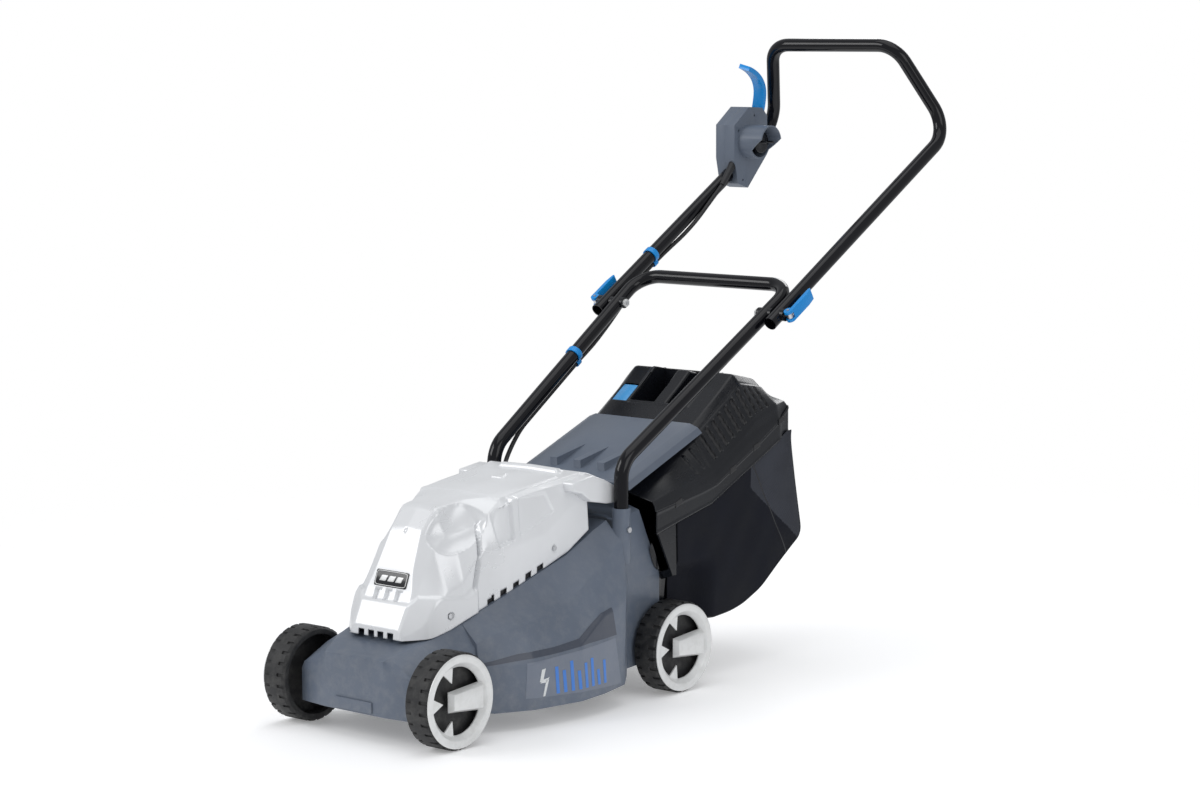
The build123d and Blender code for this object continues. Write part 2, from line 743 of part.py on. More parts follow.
def box_half(x_from, x_to):
    """One hollow half of the switch box between two X positions, open at x_from."""
    way = 1 if x_to > x_from else -1
    with BuildPart() as half:
        with BuildSketch(side_on(x_from)):
            with BuildLine():
                Polyline(*box_outline, close=True)
            make_face()
        extrude(amount=x_to - x_from)
        with BuildSketch(side_on(x_from)):
            with BuildLine():
                Polyline(*box_core, close=True)
            make_face()
        extrude(amount=x_to - x_from - way * box_wall, mode=Mode.SUBTRACT)
        # saddle block round the tube and the screw posts
        with BuildSketch(leg_bore):
            Circle(tube_r + 4)
        extrude(amount=150)
        with BuildSketch(side_on(x_from)):
            with Locations(*box_screw_points):
                Circle(4.6)
        extrude(amount=x_to - x_from)
        with BuildSketch(side_on(x_from)):
            with BuildLine():
                Polyline(*box_outline, close=True)
            make_face()
        extrude(amount=x_to - x_from, mode=Mode.INTERSECT)
        with BuildSketch(leg_bore):
            Circle(tube_r + tube_fit)
        extrude(amount=170, mode=Mode.SUBTRACT)
        # posts for the lever's pivot pin, with room for the lever between them
        with BuildSketch(side_on(x_from)):
            with Locations((pivot_y, pivot_z)):
                Circle(pivot_r + 3)
        extrude(amount=x_to - x_from)
        with BuildSketch(side_on(lever_x - lever_width / 2 - 1)):
            with Locations((pivot_y + 2, 845)):
                Rectangle(26, 46)
        extrude(amount=lever_width + 7, mode=Mode.SUBTRACT)
        with BuildSketch(side_on(box_outer_x + 4)):
            with Locations((pivot_y, pivot_z)):
                Circle(pivot_r + seat_gap)
        extrude(amount=box_inner_x - box_outer_x - 5.5, mode=Mode.SUBTRACT)
        with BuildSketch(side_on(x_from)):
            with Locations(*box_screw_points):
                Circle(screw_d / 2 + seat_gap)
        extrude(amount=x_to - x_from, mode=Mode.SUBTRACT)
        # mouth for the cable boot
        with BuildSketch(boot_plane.offset(-3)):
            Circle(boot_r + seat_gap)
        extrude(amount=boot_length, mode=Mode.SUBTRACT)
    return half.part


lever_window = Plane((0, back(lever_slot_y), 850))
with BuildPart() as box_outer:
    add(box_half(box_leg_x - seat_gap / 2, box_outer_x))
    with BuildSketch(lever_window):
        with Locations((lever_x + 6, 0)):
            Rectangle(lever_width + 8, 28)
    extrude(amount=30, mode=Mode.SUBTRACT)
    with BuildSketch(side_on(box_outer_x - 1)):
        with Locations((lock_y, lock_z)):
            Circle(lock_r + pin_fit)
    extrude(amount=8, mode=Mode.SUBTRACT)
save(box_outer.part, "switch_box_outer")

with BuildPart() as box_inner:
    add(box_half(box_leg_x + seat_gap / 2, box_inner_x))
    with BuildSketch(lever_window):
        with Locations((lever_x + 6, 0)):
            Rectangle(lever_width + 8, 28)
    extrude(amount=30, mode=Mode.SUBTRACT)
    # hood round the mains inlet, its lower lip cut back
    with BuildSketch(side_on(box_inner_x - box_wall)):
        with Locations((hood_y, hood_z)):
            Circle(hood_r)
            Circle(hood_r - box_wall, mode=Mode.SUBTRACT)
    extrude(amount=hood_length + box_wall)
    with BuildSketch(Plane((0, back(hood_y), hood_z), x_dir=(1, 0, 0), z_dir=(0, 1, 0))):
        with BuildLine():
            Polyline(
                (box_inner_x + hood_length + 1, -6), (box_inner_x + hood_length + 1, 40),
                (box_inner_x + 26, 40), (box_inner_x + 26, 14), close=True,
            )
        make_face()
    extrude(amount=hood_r + 2, both=True, mode=Mode.SUBTRACT)
    with BuildSketch(side_on(box_inner_x - 20)):
        with Locations((hood_y, hood_z)):
            Circle(inlet_r - 5)
    extrude(amount=30, mode=Mode.SUBTRACT)
save(box_inner.part, "switch_box_inner")

with BuildPart() as box_screws:
    with BuildSketch(side_on(box_outer_x + 3)):
        with Locations(*box_screw_points):
            Circle(screw_d / 2)
    extrude(amount=box_inner_x - box_outer_x - 6)
save(box_screws.part, "switch_box_screws")

with BuildPart() as inlet:
    with BuildSketch(side_on(box_inner_x + seat_gap)):
        with Locations((hood_y, hood_z)):
            Circle(inlet_r)
    extrude(amount=inlet_length)
    fillet(inlet.edges().filter_by(GeomType.CIRCLE).group_by(Axis.X)[-1], 2)
    with BuildSketch(side_on(box_inner_x + inlet_length - 2)):
        with Locations((hood_y - prong_gap / 2, hood_z), (hood_y + prong_gap / 2, hood_z)):
            Circle(prong_r)
    extrude(amount=prong_length + 2)
save(inlet.part, "mains_inlet")

# ---- switch lever, lock-off button and switch ---------------------------------------
lever_line = [(0, 0), (7, 24), (7, 52), (2, 74), (-11, 92), (-32, 106), (-54, 114)]
with BuildPart() as switch_lever:
    with BuildLine(lever_plane) as lever_path:
        Spline(*lever_line)
    with BuildSketch(Plane(origin=lever_path.line @ 0, x_dir=lever_plane.z_dir, z_dir=lever_path.line % 0)):
        Rectangle(lever_width, lever_t)
    sweep()
    with BuildSketch(side_on(lever_x - lever_width / 2)):
        with Locations((pivot_y, pivot_z)):
            Circle(pivot_r + 3.5)
    extrude(amount=lever_width)
    with BuildSketch(side_on(lever_x - lever_width)):
        with Locations((pivot_y, pivot_z)):
            Circle(pivot_r + pin_fit)
    extrude(amount=2 * lever_width, mode=Mode.SUBTRACT)
save(switch_lever.part, "switch_lever")

with BuildPart() as lever_pin:
    with BuildSketch(side_on(box_outer_x + 4.2)):
        with Locations((pivot_y, pivot_z)):
            Circle(pivot_r)
    extrude(amount=box_inner_x - box_outer_x - 6)

with BuildPart() as lock_button:
    with BuildSketch(side_on(box_outer_x - lock_travel - 0.8)):
        with Locations((lock_y, lock_z)):
            Circle(lock_r)
    extrude(amount=lock_travel + 0.8 + box_wall + 0.3)
    with BuildSketch(side_on(box_outer_x + box_wall + 0.2)):
        with Locations((lock_y, lock_z)):
            Circle(lock_r + 2)
    extrude(amount=1.6)
save(lock_button.part, "lock_off_button")

with BuildPart() as micro_switch:
    with BuildSketch(side_on(box_leg_x - 8)):
        with Locations((1098, 832)):
            Rectangle(20, 12)
    extrude(amount=12)
save(micro_switch.part, "micro_switch")

# ---- cable, boot, clips and gland ---------------------------------------------------
cable_r = cable_d / 2


def along_cable(points, name):
    route = [Vector(x, back(y), z) for x, y, z in points]
    radii = []
    for before, here, after in zip(route, route[1:], route[2:]):
        turn = radians((here - before).get_angle(after - here))
        shorter = min((here - before).length, (after - here).length)
        radii.append(0.45 * shorter / tan(turn / 2))
    print(name, "bend radii", [round(r, 1) for r in radii])
    with BuildPart() as cable:
        with BuildLine() as path:
            FilletPolyline(*route, radius=radii)
        with BuildSketch(Plane(origin=path.line @ 0, z_dir=path.line % 0)):
            Circle(cable_r)
        sweep()
    swept = pi * cable_r**2 * sum(edge.length for edge in path.edges())
    print(name, "volume over section times length", round(cable.part.volume / swept, 4))
    save(cable.part, name)


along_cable(
    [(-164.2, 1011, 740), (-164.1, 975, 711), (-166.6, 945, 684), (-172.5, 917, 660.5), (-177, 880, 637.8),
     (-178.2, 838, 613)],
    "upper_cable",
)
along_cable(
    [(-178.2, 837.6, 612.77), (-177.2, 806, 594), (-169, 757, 560), (-157, 704, 528), (-148, 655, 499.5),
     (-144.8, 618.4, 479.45)],
    "fold_cable",
)
along_cable(
    [(-144.8, 618, 479.2), (-133.9, 462, 383), (-128.5, 436, 361), (-121.5, 415, 343), (-98.5, 380, 325)],
    "lower_cable",
)

with BuildPart() as boot:
    with BuildSketch(boot_plane):
        Circle(boot_r)
    with BuildSketch(boot_plane.offset(boot_length)):
        Circle(cable_r + 1)
    loft()
save(boot.part, "cable_boot")

with BuildPart() as gland:
    with BuildSketch(gland_plane.offset(-7)):
        Circle(gland_r)
    extrude(amount=17)
    with BuildSketch(gland_plane.offset(-8)):
        Circle(cable_r + 0.6)
    extrude(amount=20, mode=Mode.SUBTRACT)
save(gland.part, "cable_gland")


def make_clip(name, tube_point, tube_way, cable_point):
    """Band round a handle tube with a loop for the cable."""
    band = Plane(origin=tube_point, z_dir=tube_way)
    hold = Plane(origin=cable_point + tube_way * (tube_point - cable_point).dot(tube_way), z_dir=tube_way)
    with BuildPart() as clip:
        with BuildSketch(band):
            Circle(tube_r + 2.2)
        extrude(amount=5, both=True)
        with BuildSketch(hold):
            Circle(cable_r + 2.4)
        extrude(amount=5, both=True)
        with BuildSketch(band):
            Circle(tube_r + seat_gap)
        extrude(amount=8, both=True, mode=Mode.SUBTRACT)
        with BuildSketch(hold):
            Circle(cable_r + 0.8)
        extrude(amount=8, both=True, mode=Mode.SUBTRACT)
    save(clip.part, name)


clip_along = 136.0
clip_point = upper_leg(clip_along, -1, front_axle_y)
make_clip("upper_cable_clip", clip_point, leg_bore.z_dir, Vector(-178.2, back(838), 613))
lower_way = Vector(-(crossbar_x - socket_x), crossbar_y - socket_y, crossbar_z - lower_bend_z).normalized()
lower_clip_y = 602.0
share = leg_share(lower_clip_y)
lower_clip_point = Vector(
    -(socket_x + share * (crossbar_x - socket_x)), back(lower_clip_y),
    lower_bend_z + share * (crossbar_z - lower_bend_z),
)
make_clip("lower_cable_clip", lower_clip_point, lower_way, Vector(-143.7, back(lower_clip_y), 469.3))


# ---- rear flap ----------------------------------------------------------------------
slope = radians(flap_slope)
flap_up = Vector(0, -sin(slope), cos(slope))
flap_way = Vector(0, cos(slope), sin(slope))
flap_origin = Vector(0, back(flap_hinge_y), flap_hinge_z) + flap_up * (hinge_pin_d / 2 + 0.8)
flap_plane = Plane(origin=flap_origin, x_dir=(1, 0, 0), z_dir=-flap_way)
flap_drop = 15.0
knuckle_r = hinge_pin_d / 2 + 2.6
spring_half = 17.0
hinge_line = Plane((0, back(flap_hinge_y), flap_hinge_z), x_dir=(0, 1, 0), z_dir=(1, 0, 0))
with BuildPart() as flap:
    with BuildSketch(flap_plane):
        with BuildLine():
            Polyline(
                (-flap_half, -flap_drop), (-flap_half + 6, -6), (-flap_top_half, 0), (flap_top_half, 0),
                (flap_half - 6, -6), (flap_half, -flap_drop), (flap_half - 3, -flap_drop),
                (flap_half - 8.5, -6 - flap_t), (flap_top_half - 1, -flap_t), (-flap_top_half + 1, -flap_t),
                (-flap_half + 8.5, -6 - flap_t), (-flap_half + 3, -flap_drop), close=True,
            )
        make_face()
    extrude(amount=-flap_length)
    # wedge ribs across the front half
    for x in (-48, 0, 48):
        with BuildSketch(Plane(origin=flap_origin + Vector(x - 7, 0, 0), x_dir=flap_way, z_dir=(1, 0, 0))):
            with BuildLine():
                Polyline((22, -1), (26, 12), (100, -1), close=True)
            make_face()
        extrude(amount=14)
    # hinge knuckles and the room for the ears and the spring
    with BuildSketch(hinge_line):
        Circle(knuckle_r)
    extrude(amount=flap_top_half, both=True)
    with BuildSketch(hinge_line):
        Rectangle(2 * knuckle_r + 5, 2 * knuckle_r + 6)
    extrude(amount=spring_half, both=True, mode=Mode.SUBTRACT)
    for side in (1, -1):
        with BuildSketch(hinge_line.offset(side * (ear_x - 1))):
            with Locations((2, 0)):
                Rectangle(26, 60)
        extrude(amount=side * (ear_t + 2), mode=Mode.SUBTRACT)
    with BuildSketch(hinge_line):
        Circle(hinge_pin_d / 2 + pin_fit)
    extrude(amount=flap_half, both=True, mode=Mode.SUBTRACT)
save(flap.part, "rear_flap")

with BuildPart() as flap_pin:
    with BuildSketch(hinge_line):
        Circle(hinge_pin_d / 2)
    extrude(amount=ear_x + ear_t + 1, both=True)
save(flap_pin.part, "flap_pin")

with BuildPart() as flap_spring:
    with BuildSketch(hinge_line):
        Circle(hinge_pin_d / 2 + 1.8)
        Circle(hinge_pin_d / 2 + 0.3, mode=Mode.SUBTRACT)
    extrude(amount=spring_half - 2, both=True)
save(flap_spring.part, "flap_spring")

# ---- grass box ----------------------------------------------------------------------
lid_stations = [
    (450.0, [(84, 312), (100, 306), (146, 296), (150, 281.5)]),
    (562.0, [(95, 362), (104, 357), (146, 318), (150, 299)]),
    (600.0, [(96, 389), (106, 382), (146, 330), (150, 307)]),
    (678.0, [(98, 444), (109, 433), (146, 377), (150, 345)]),
    (704.0, [(99, 465), (110, 454), (145, 393), (150, 358)]),
    (762.0, [(96, 452), (108, 442), (144, 412), (149, 389)]),
    (792.0, [(88, 428), (100, 424), (134, 416), (141, 408)]),
]
bag_stations = [
    (452.0, [(148, 281), (148, 262), (140, 253), (130, 250)]),
    (494.0, [(148, 286), (148, 177), (126, 169), (120, 101)]),
    (562.0, [(149, 298), (149, 178), (127, 170), (122, 98)]),
    (592.0, [(149, 302), (150, 182), (149, 130), (146, 97)]),
    (672.0, [(149, 341), (150, 220), (149, 150), (146, 108)]),
    (764.0, [(148, 389), (150, 270), (149, 200), (146, 160)]),
    (788.0, [(141, 402), (147, 290), (148, 220), (145, 176)]),
    (806.0, [(141, 290), (146, 258), (147, 215), (145, 186)]),
    (826.0, [(139, 206), (141, 204), (141, 201), (139, 198)]),
]


def rim_at(y):
    """Height of the lid's rim at a distance behind the front axle."""
    line = [(station, half[-1][1]) for station, half in lid_stations]
    for (y0, z0), (y1, z1) in zip(line, line[1:]):
        if y <= y1 or (y1, z1) == line[-1]:
            return z0 + (z1 - z0) * (y - y0) / (y1 - y0)
    return line[-1][1]


bag_outer_stations = [
    (y, [(half[0][0], min(half[0][1], rim_at(y) - box_gap))] + half[1:]) for y, half in bag_stations
]
bag_inner_stations = []
for y, half in bag_outer_stations:
    moved_y = y - 4 if y < 460 else y - 1.2 * bag_wall if y > 600 else y
    points = [(half[0][0] - bag_wall, half[0][1] + 4)]
    points += [(x - bag_wall, z) for x, z in half[1:-1]]
    points.append((half[-1][0] - bag_wall, half[-1][1] + bag_wall))
    bag_inner_stations.append((moved_y, points))
band_line = [(440, 243), (510, 260), (586, 277), (657, 310), (729, 344), (782, 371), (840, 375)]
frame_back_y = 503.0

with BuildPart() as box_shell:
    add(station_loft(bag_outer_stations))
    add(station_loft(bag_inner_stations), mode=Mode.SUBTRACT)
    # the slanted mouth that meets the deck's discharge
    with BuildSketch(side_on(0)):
        with BuildLine():
            Polyline((425, 238), (486.5, 238), (486.5, 143), (498, 106), (425, 106), close=True)
        make_face()
    extrude(amount=rear_side_x + 1, both=True, mode=Mode.SUBTRACT)


def cut_by(part, outline):
    """The stretch of a part inside an upright outline of (behind the axle, height) points."""
    with BuildPart() as piece:
        add(part)
        with BuildSketch(side_on(0)):
            with BuildLine():
                Polyline(*outline, close=True)
            make_face()
        extrude(amount=200, both=True, mode=Mode.INTERSECT)
    return piece.part


below_band = [(y, z - seat_gap) for y, z in band_line]
save(cut_by(box_shell.part, band_line + [(840, 460), (440, 460)]), "box_band")
front_line = [p for p in below_band if p[0] < frame_back_y]
frame_top_z = 243 + (frame_back_y - 440) * 17 / 70 - seat_gap
frame_outline = front_line + [(frame_back_y, frame_top_z), (frame_back_y, 90), (440, 90)]
save(cut_by(box_shell.part, frame_outline), "box_front_frame")
bag_front = frame_back_y + seat_gap
rear_line = [p for p in below_band if p[0] > frame_back_y]
bag_outline = [(bag_front, frame_top_z)] + rear_line + [(840, 90), (bag_front, 90)]
save(cut_by(box_shell.part, bag_outline), "grass_bag")

pocket_front_y = 640.0
pocket_back_y = 728.0
pocket_half = 58.0
pocket_floor_z = 392.0
bar_half = 13.0
indicator_x = 80.0
indicator_w = 28.0
indicator_l = 40.0
indicator_t = 2.0
indicator_y = 638.0
lid_angle = atan2(444.0 - 389.0, 678.0 - 600.0)
indicator_hinge = Vector(-indicator_x, back(indicator_y), 389 + (indicator_y - 600) * tan(lid_angle) - 1.6)
indicator_up = Vector(0, -sin(lid_angle), cos(lid_angle))
indicator_plane = Plane(origin=indicator_hinge, x_dir=(1, 0, 0), z_dir=indicator_up)
pivot_stub_r = 0.9
with BuildPart() as lid:
    add(station_loft(lid_stations))
    add(station_loft(inset(lid_stations, lid_wall, 30, lid_wall, -lid_wall)), mode=Mode.SUBTRACT)
    # tub under the carry pocket
    with BuildSketch(Plane((0, 0, pocket_floor_z - lid_wall))):
        with Locations((0, back((pocket_front_y + pocket_back_y) / 2))):
            Rectangle(2 * (pocket_half + lid_wall), pocket_back_y - pocket_front_y + 2 * lid_wall)
    extrude(amount=200)
    add(station_loft(lid_stations), mode=Mode.INTERSECT)
    with BuildSketch(Plane((0, 0, pocket_floor_z))):
        with Locations((0, back((pocket_front_y + pocket_back_y) / 2))):
            Rectangle(2 * pocket_half, pocket_back_y - pocket_front_y)
    extrude(amount=200, mode=Mode.SUBTRACT)
    # carry bar along the middle of the pocket
    with BuildSketch(side_on(-bar_half)):
        with BuildLine():
            Polyline(
                (pocket_front_y - 1, 415.5), (678, 443), (704, 464), (pocket_back_y + 1, 457.5),
                (pocket_back_y + 1, 438), (704, 444), (680, 424), (pocket_front_y - 1, 396), close=True,
            )
        make_face()
    extrude(amount=2 * bar_half)
    # window and pivot holes for the level indicator
    with BuildSketch(indicator_plane.offset(-8)):
        with Locations((0, indicator_l / 2 - 1.5)):
            Rectangle(indicator_w + 1.2, indicator_l + 4)
    extrude(amount=20, mode=Mode.SUBTRACT)
    with BuildSketch(Plane(origin=indicator_hinge, x_dir=(0, 1, 0), z_dir=(1, 0, 0))):
        Circle(pivot_stub_r + pin_fit)
    extrude(amount=indicator_w / 2 + 3, both=True, mode=Mode.SUBTRACT)
save(lid.part, "box_lid")

with BuildPart() as indicator:
    with BuildSketch(indicator_plane.offset(-indicator_t / 2)):
        with Locations((0, indicator_l / 2 - 1.2)):
            Rectangle(indicator_w, indicator_l)
    extrude(amount=indicator_t)
    with BuildSketch(Plane(origin=indicator_hinge, x_dir=(0, 1, 0), z_dir=(1, 0, 0))):
        Circle(pivot_stub_r)
    extrude(amount=indicator_w / 2 + 2.4, both=True)
save(indicator.part, "level_indicator")

# ---- motor --------------------------------------------------------------------------
can_r = motor_can_d / 2
motor_foot_z = well_floor_z + wall + seat_gap
lower_bracket_t = 9.0
winding_h = 13.0
stator_z = motor_foot_z + lower_bracket_t + winding_h
stator_h = motor_can_h / 2
rotor_gap = 0.8
stator_bore_r = 31.0
bearing_r = 13.0
bearing_t = 8.0
screw_circle_r = well_r - 14
upper_skirt_z = stator_z + stator_h + seat_gap
upper_bracket_z = upper_skirt_z + winding_h + 6


def on_motor(z):
    return Plane((0, back(motor_y), z))


def disc(z, outer, inner, height):
    """Ring on the motor's axis."""
    with BuildPart() as ring:
        with BuildSketch(on_motor(z)):
            Circle(outer)
            Circle(inner, mode=Mode.SUBTRACT)
        extrude(amount=height)
    return ring.part


with BuildPart() as motor_foot:
    add(disc(motor_foot_z, can_r, 9, lower_bracket_t))
    add(disc(motor_foot_z + lower_bracket_t, can_r, can_r - 3, winding_h - seat_gap))
    with BuildSketch(on_motor(motor_foot_z + lower_bracket_t - bearing_t)):
        Circle(bearing_r + seat_gap)
    extrude(amount=bearing_t + 1, mode=Mode.SUBTRACT)
    with BuildSketch(on_motor(motor_foot_z)):
        with PolarLocations(screw_circle_r, 4, start_angle=45):
            Circle(screw_d / 2 + seat_gap)
    extrude(amount=7, mode=Mode.SUBTRACT)
save(motor_foot.part, "motor_lower_bracket")

with BuildPart() as stator:
    add(disc(stator_z, can_r, stator_bore_r, stator_h))
    with BuildSketch(on_motor(stator_z)):
        with PolarLocations(stator_bore_r + 4, 18):
            Rectangle(9, 4)
    extrude(amount=stator_h, mode=Mode.SUBTRACT)
save(stator.part, "stator_core")

with BuildPart() as windings:
    add(disc(stator_z - winding_h + 1, can_r - 6, stator_bore_r + 2, winding_h - 1 - seat_gap))
    add(disc(upper_skirt_z, can_r - 6, stator_bore_r + 2, winding_h))
save(windings.part, "stator_windings")

with BuildPart() as motor_head:
    add(disc(upper_skirt_z, can_r, can_r - 3, upper_bracket_z - upper_skirt_z))
    add(disc(upper_bracket_z, can_r, bearing_r + seat_gap, bearing_t))
    add(disc(upper_bracket_z + bearing_t, bearing_r + 4, shaft_d / 2 + 2, 2))
save(motor_head.part, "motor_upper_bracket")

with BuildPart() as bearings:
    for z in (motor_foot_z + lower_bracket_t - bearing_t + seat_gap, upper_bracket_z + seat_gap):
        add(disc(z, bearing_r, shaft_d / 2 + shaft_fit, bearing_t - 2 * seat_gap))
save(bearings.part, "motor_bearings")

with BuildPart() as motor_screws:
    with BuildSketch(on_motor(well_floor_z - seat_gap)):
        with PolarLocations(screw_circle_r, 4, start_angle=45):
            Circle(screw_d / 2)
    extrude(amount=wall + 6)
    with BuildSketch(on_motor(well_floor_z - seat_gap)):
        with PolarLocations(screw_circle_r, 4, start_angle=45):
            Circle(3.8)
    extrude(amount=-2.4)

with BuildPart() as body_screws:
    add(cover_screws.part)
    add(bracket_screws.part)
    add(handle_screws.part)
    add(motor_screws.part)
save(body_screws.part, "body_screws")

with BuildPart() as pivot_pins:
    add(cam_pins.part)
    add(lever_pin.part)
save(pivot_pins.part, "pivot_pins")

capacitor_r = 17.0
capacitor_z = 203.0
with BuildPart() as capacitor:
    with BuildSketch(Plane((0, back(118), capacitor_z), x_dir=(0, 1, 0), z_dir=(1, 0, 0))):
        Circle(capacitor_r)
    extrude(amount=34, both=True)
    # saddle that stands on the deck
    with BuildSketch(across(118 - 8)):
        with Locations((0, (capacitor_z + 173.5) / 2)):
            Rectangle(30, capacitor_z - 173.5)
    extrude(amount=-16)
save(capacitor.part, "capacitor")

# ---- rotor and blade ----------------------------------------------------------------
shaft_top_z = upper_bracket_z + bearing_t + 26
fan_z = upper_bracket_z + bearing_t + 5
fan_r = 44.0
carrier_z = blade_z + blade_t + seat_gap
bolt_depth = 20.0
carrier_h = 24.0
carrier_floor = 3.0
shaft_foot_z = carrier_z + carrier_floor + seat_gap
with BuildPart() as shaft:
    with BuildSketch(on_motor(shaft_foot_z)):
        Circle(shaft_d / 2)
    extrude(amount=shaft_top_z - shaft_foot_z)
    with BuildSketch(on_motor(shaft_foot_z)):
        Circle(blade_bolt_d / 2 + seat_gap)
    extrude(amount=bolt_depth + 1, mode=Mode.SUBTRACT)
save(shaft.part, "motor_shaft")

with BuildPart() as armature:
    add(disc(stator_z, stator_bore_r - rotor_gap, shaft_d / 2 + seat_gap, stator_h))
    with BuildSketch(on_motor(stator_z + 5)):
        with PolarLocations(stator_bore_r - rotor_gap, 16):
            Rectangle(7, 1.6)
    extrude(amount=stator_h - 10, mode=Mode.SUBTRACT)
save(armature.part, "motor_armature")

fan_h = 14.0
with BuildPart() as fan:
    add(disc(fan_z, 11, shaft_d / 2 + seat_gap, fan_h))
    add(disc(fan_z, fan_r, shaft_d / 2 + seat_gap, 2))
    with BuildSketch(on_motor(fan_z + 1)):
        with PolarLocations((fan_r + 10) / 2, 9):
            Rectangle(fan_r - 12, 1.8, rotation=14)
    extrude(amount=fan_h - 1)
save(fan.part, "cooling_fan")

with BuildPart() as carrier:
    add(disc(carrier_z, 17, shaft_d / 2 + seat_gap, carrier_h))
    with BuildSketch(on_motor(carrier_z)):
        RectangleRounded(74, 34, 6)
    extrude(amount=5)
    with BuildSketch(on_motor(shaft_foot_z - seat_gap)):
        Circle(shaft_d / 2 + seat_gap)
    extrude(amount=carrier_h, mode=Mode.SUBTRACT)
    with BuildSketch(on_motor(carrier_z - 1)):
        Circle(blade_bolt_d / 2 + screw_fit)
    extrude(amount=carrier_floor + 2, mode=Mode.SUBTRACT)
save(carrier.part, "blade_carrier")

with BuildPart() as blade:
    with BuildSketch(on_motor(blade_z)):
        with BuildLine():
            Polyline(
                (-blade_length / 2, -9), (-86, -blade_width / 2), (86, -blade_width / 2),
                (blade_length / 2, -17), (blade_length / 2, 9), (86, blade_width / 2), (-86, blade_width / 2), (-blade_length / 2, 17),
                close=True,
            )
        make_face()
        Circle(blade_bolt_d / 2 + screw_fit, mode=Mode.SUBTRACT)
    extrude(amount=blade_t)
    # raised sails behind the cutting edges
    for way in (1, -1):
        sail = Plane((way * 94, back(motor_y), blade_z), x_dir=(0, 1, 0), z_dir=(1, 0, 0))
        with BuildSketch(sail):
            with BuildLine():
                Polyline((-way * 8, 1), (-way * 15, 16), (-way * 13, 16), (-way * 3, 2.8), close=True)
            make_face()
        extrude(amount=way * 58)
save(blade.part, "cutting_blade")

with BuildPart() as blade_bolt:
    with BuildSketch(on_motor(blade_z - seat_gap)):
        Circle(blade_bolt_d / 2)
    extrude(amount=shaft_foot_z + bolt_depth - blade_z)
    with BuildSketch(on_motor(blade_z - seat_gap)):
        Circle(13)
    extrude(amount=-2)
    with BuildSketch(on_motor(blade_z - seat_gap - 2)):
        RegularPolygon(7.5, 6)
    extrude(amount=-5)
save(blade_bolt.part, "blade_bolt")
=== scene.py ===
import json
import math
import bpy
import bmesh
import numpy as np
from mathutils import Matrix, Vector

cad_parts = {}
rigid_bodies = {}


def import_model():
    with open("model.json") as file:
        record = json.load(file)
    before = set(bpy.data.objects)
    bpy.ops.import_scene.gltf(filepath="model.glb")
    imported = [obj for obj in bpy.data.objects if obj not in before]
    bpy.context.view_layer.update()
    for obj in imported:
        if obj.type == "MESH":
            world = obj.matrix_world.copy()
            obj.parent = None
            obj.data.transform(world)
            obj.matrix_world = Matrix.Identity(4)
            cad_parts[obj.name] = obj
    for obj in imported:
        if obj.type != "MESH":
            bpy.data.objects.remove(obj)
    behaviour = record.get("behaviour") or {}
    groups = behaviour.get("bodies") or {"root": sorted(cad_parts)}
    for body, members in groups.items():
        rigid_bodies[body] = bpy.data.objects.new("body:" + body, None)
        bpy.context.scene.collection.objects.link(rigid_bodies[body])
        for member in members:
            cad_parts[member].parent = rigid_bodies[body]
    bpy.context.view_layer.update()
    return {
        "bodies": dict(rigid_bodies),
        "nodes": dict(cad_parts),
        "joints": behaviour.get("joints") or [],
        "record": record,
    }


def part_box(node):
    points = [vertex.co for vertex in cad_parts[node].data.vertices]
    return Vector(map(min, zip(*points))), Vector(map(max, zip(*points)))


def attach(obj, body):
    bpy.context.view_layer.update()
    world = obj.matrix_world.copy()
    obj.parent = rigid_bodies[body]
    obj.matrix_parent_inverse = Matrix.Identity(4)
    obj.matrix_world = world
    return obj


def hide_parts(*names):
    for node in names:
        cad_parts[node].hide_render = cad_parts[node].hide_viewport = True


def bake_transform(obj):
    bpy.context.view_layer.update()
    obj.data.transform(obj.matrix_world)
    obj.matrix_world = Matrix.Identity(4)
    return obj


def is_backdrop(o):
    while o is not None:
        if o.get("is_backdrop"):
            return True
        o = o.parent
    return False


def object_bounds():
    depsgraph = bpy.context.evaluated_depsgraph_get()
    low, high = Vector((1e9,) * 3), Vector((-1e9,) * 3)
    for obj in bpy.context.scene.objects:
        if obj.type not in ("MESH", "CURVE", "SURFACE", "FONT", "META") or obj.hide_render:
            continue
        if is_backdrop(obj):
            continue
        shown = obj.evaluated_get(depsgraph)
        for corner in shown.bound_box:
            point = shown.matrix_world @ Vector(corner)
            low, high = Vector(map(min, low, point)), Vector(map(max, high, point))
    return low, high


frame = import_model()
nodes = frame["nodes"]
frontAxleLow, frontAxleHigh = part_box("front_axle")
frontAxleY = (frontAxleLow[1] + frontAxleHigh[1]) / 2
print("frame loaded,", len(nodes), "nodes")


def back(y):
    # distance behind the front axle in millimetres to the shared frame's Y in metres
    return frontAxleY + y / 1000


# camera, at the height of a standing person's chest a few metres away
cameraSet = {
    "x": 2.9924, "y": -3005.9, "z": 1.0178, "azimuth": 40.5, "elevation": 7.2, "roll": -0.2, "lens": 89.8,
}


def makeCamera(values):
    a, e = math.radians(values["azimuth"]), math.radians(values["elevation"])
    backward = Vector((math.sin(a) * math.cos(e), -math.cos(a) * math.cos(e), math.sin(e)))
    data = bpy.data.cameras.new("camera")
    data.lens = values["lens"]
    data.sensor_width = 36
    data.clip_start, data.clip_end = 0.05, 60
    camera = bpy.data.objects.new("camera", data)
    bpy.context.scene.collection.objects.link(camera)
    camera.location = (values["x"], back(values["y"]), values["z"])
    camera.rotation_euler = (-backward).to_track_quat("-Z", "Y").to_euler()
    camera.rotation_euler.rotate_axis("Z", math.radians(values["roll"]))
    bpy.context.scene.camera = camera


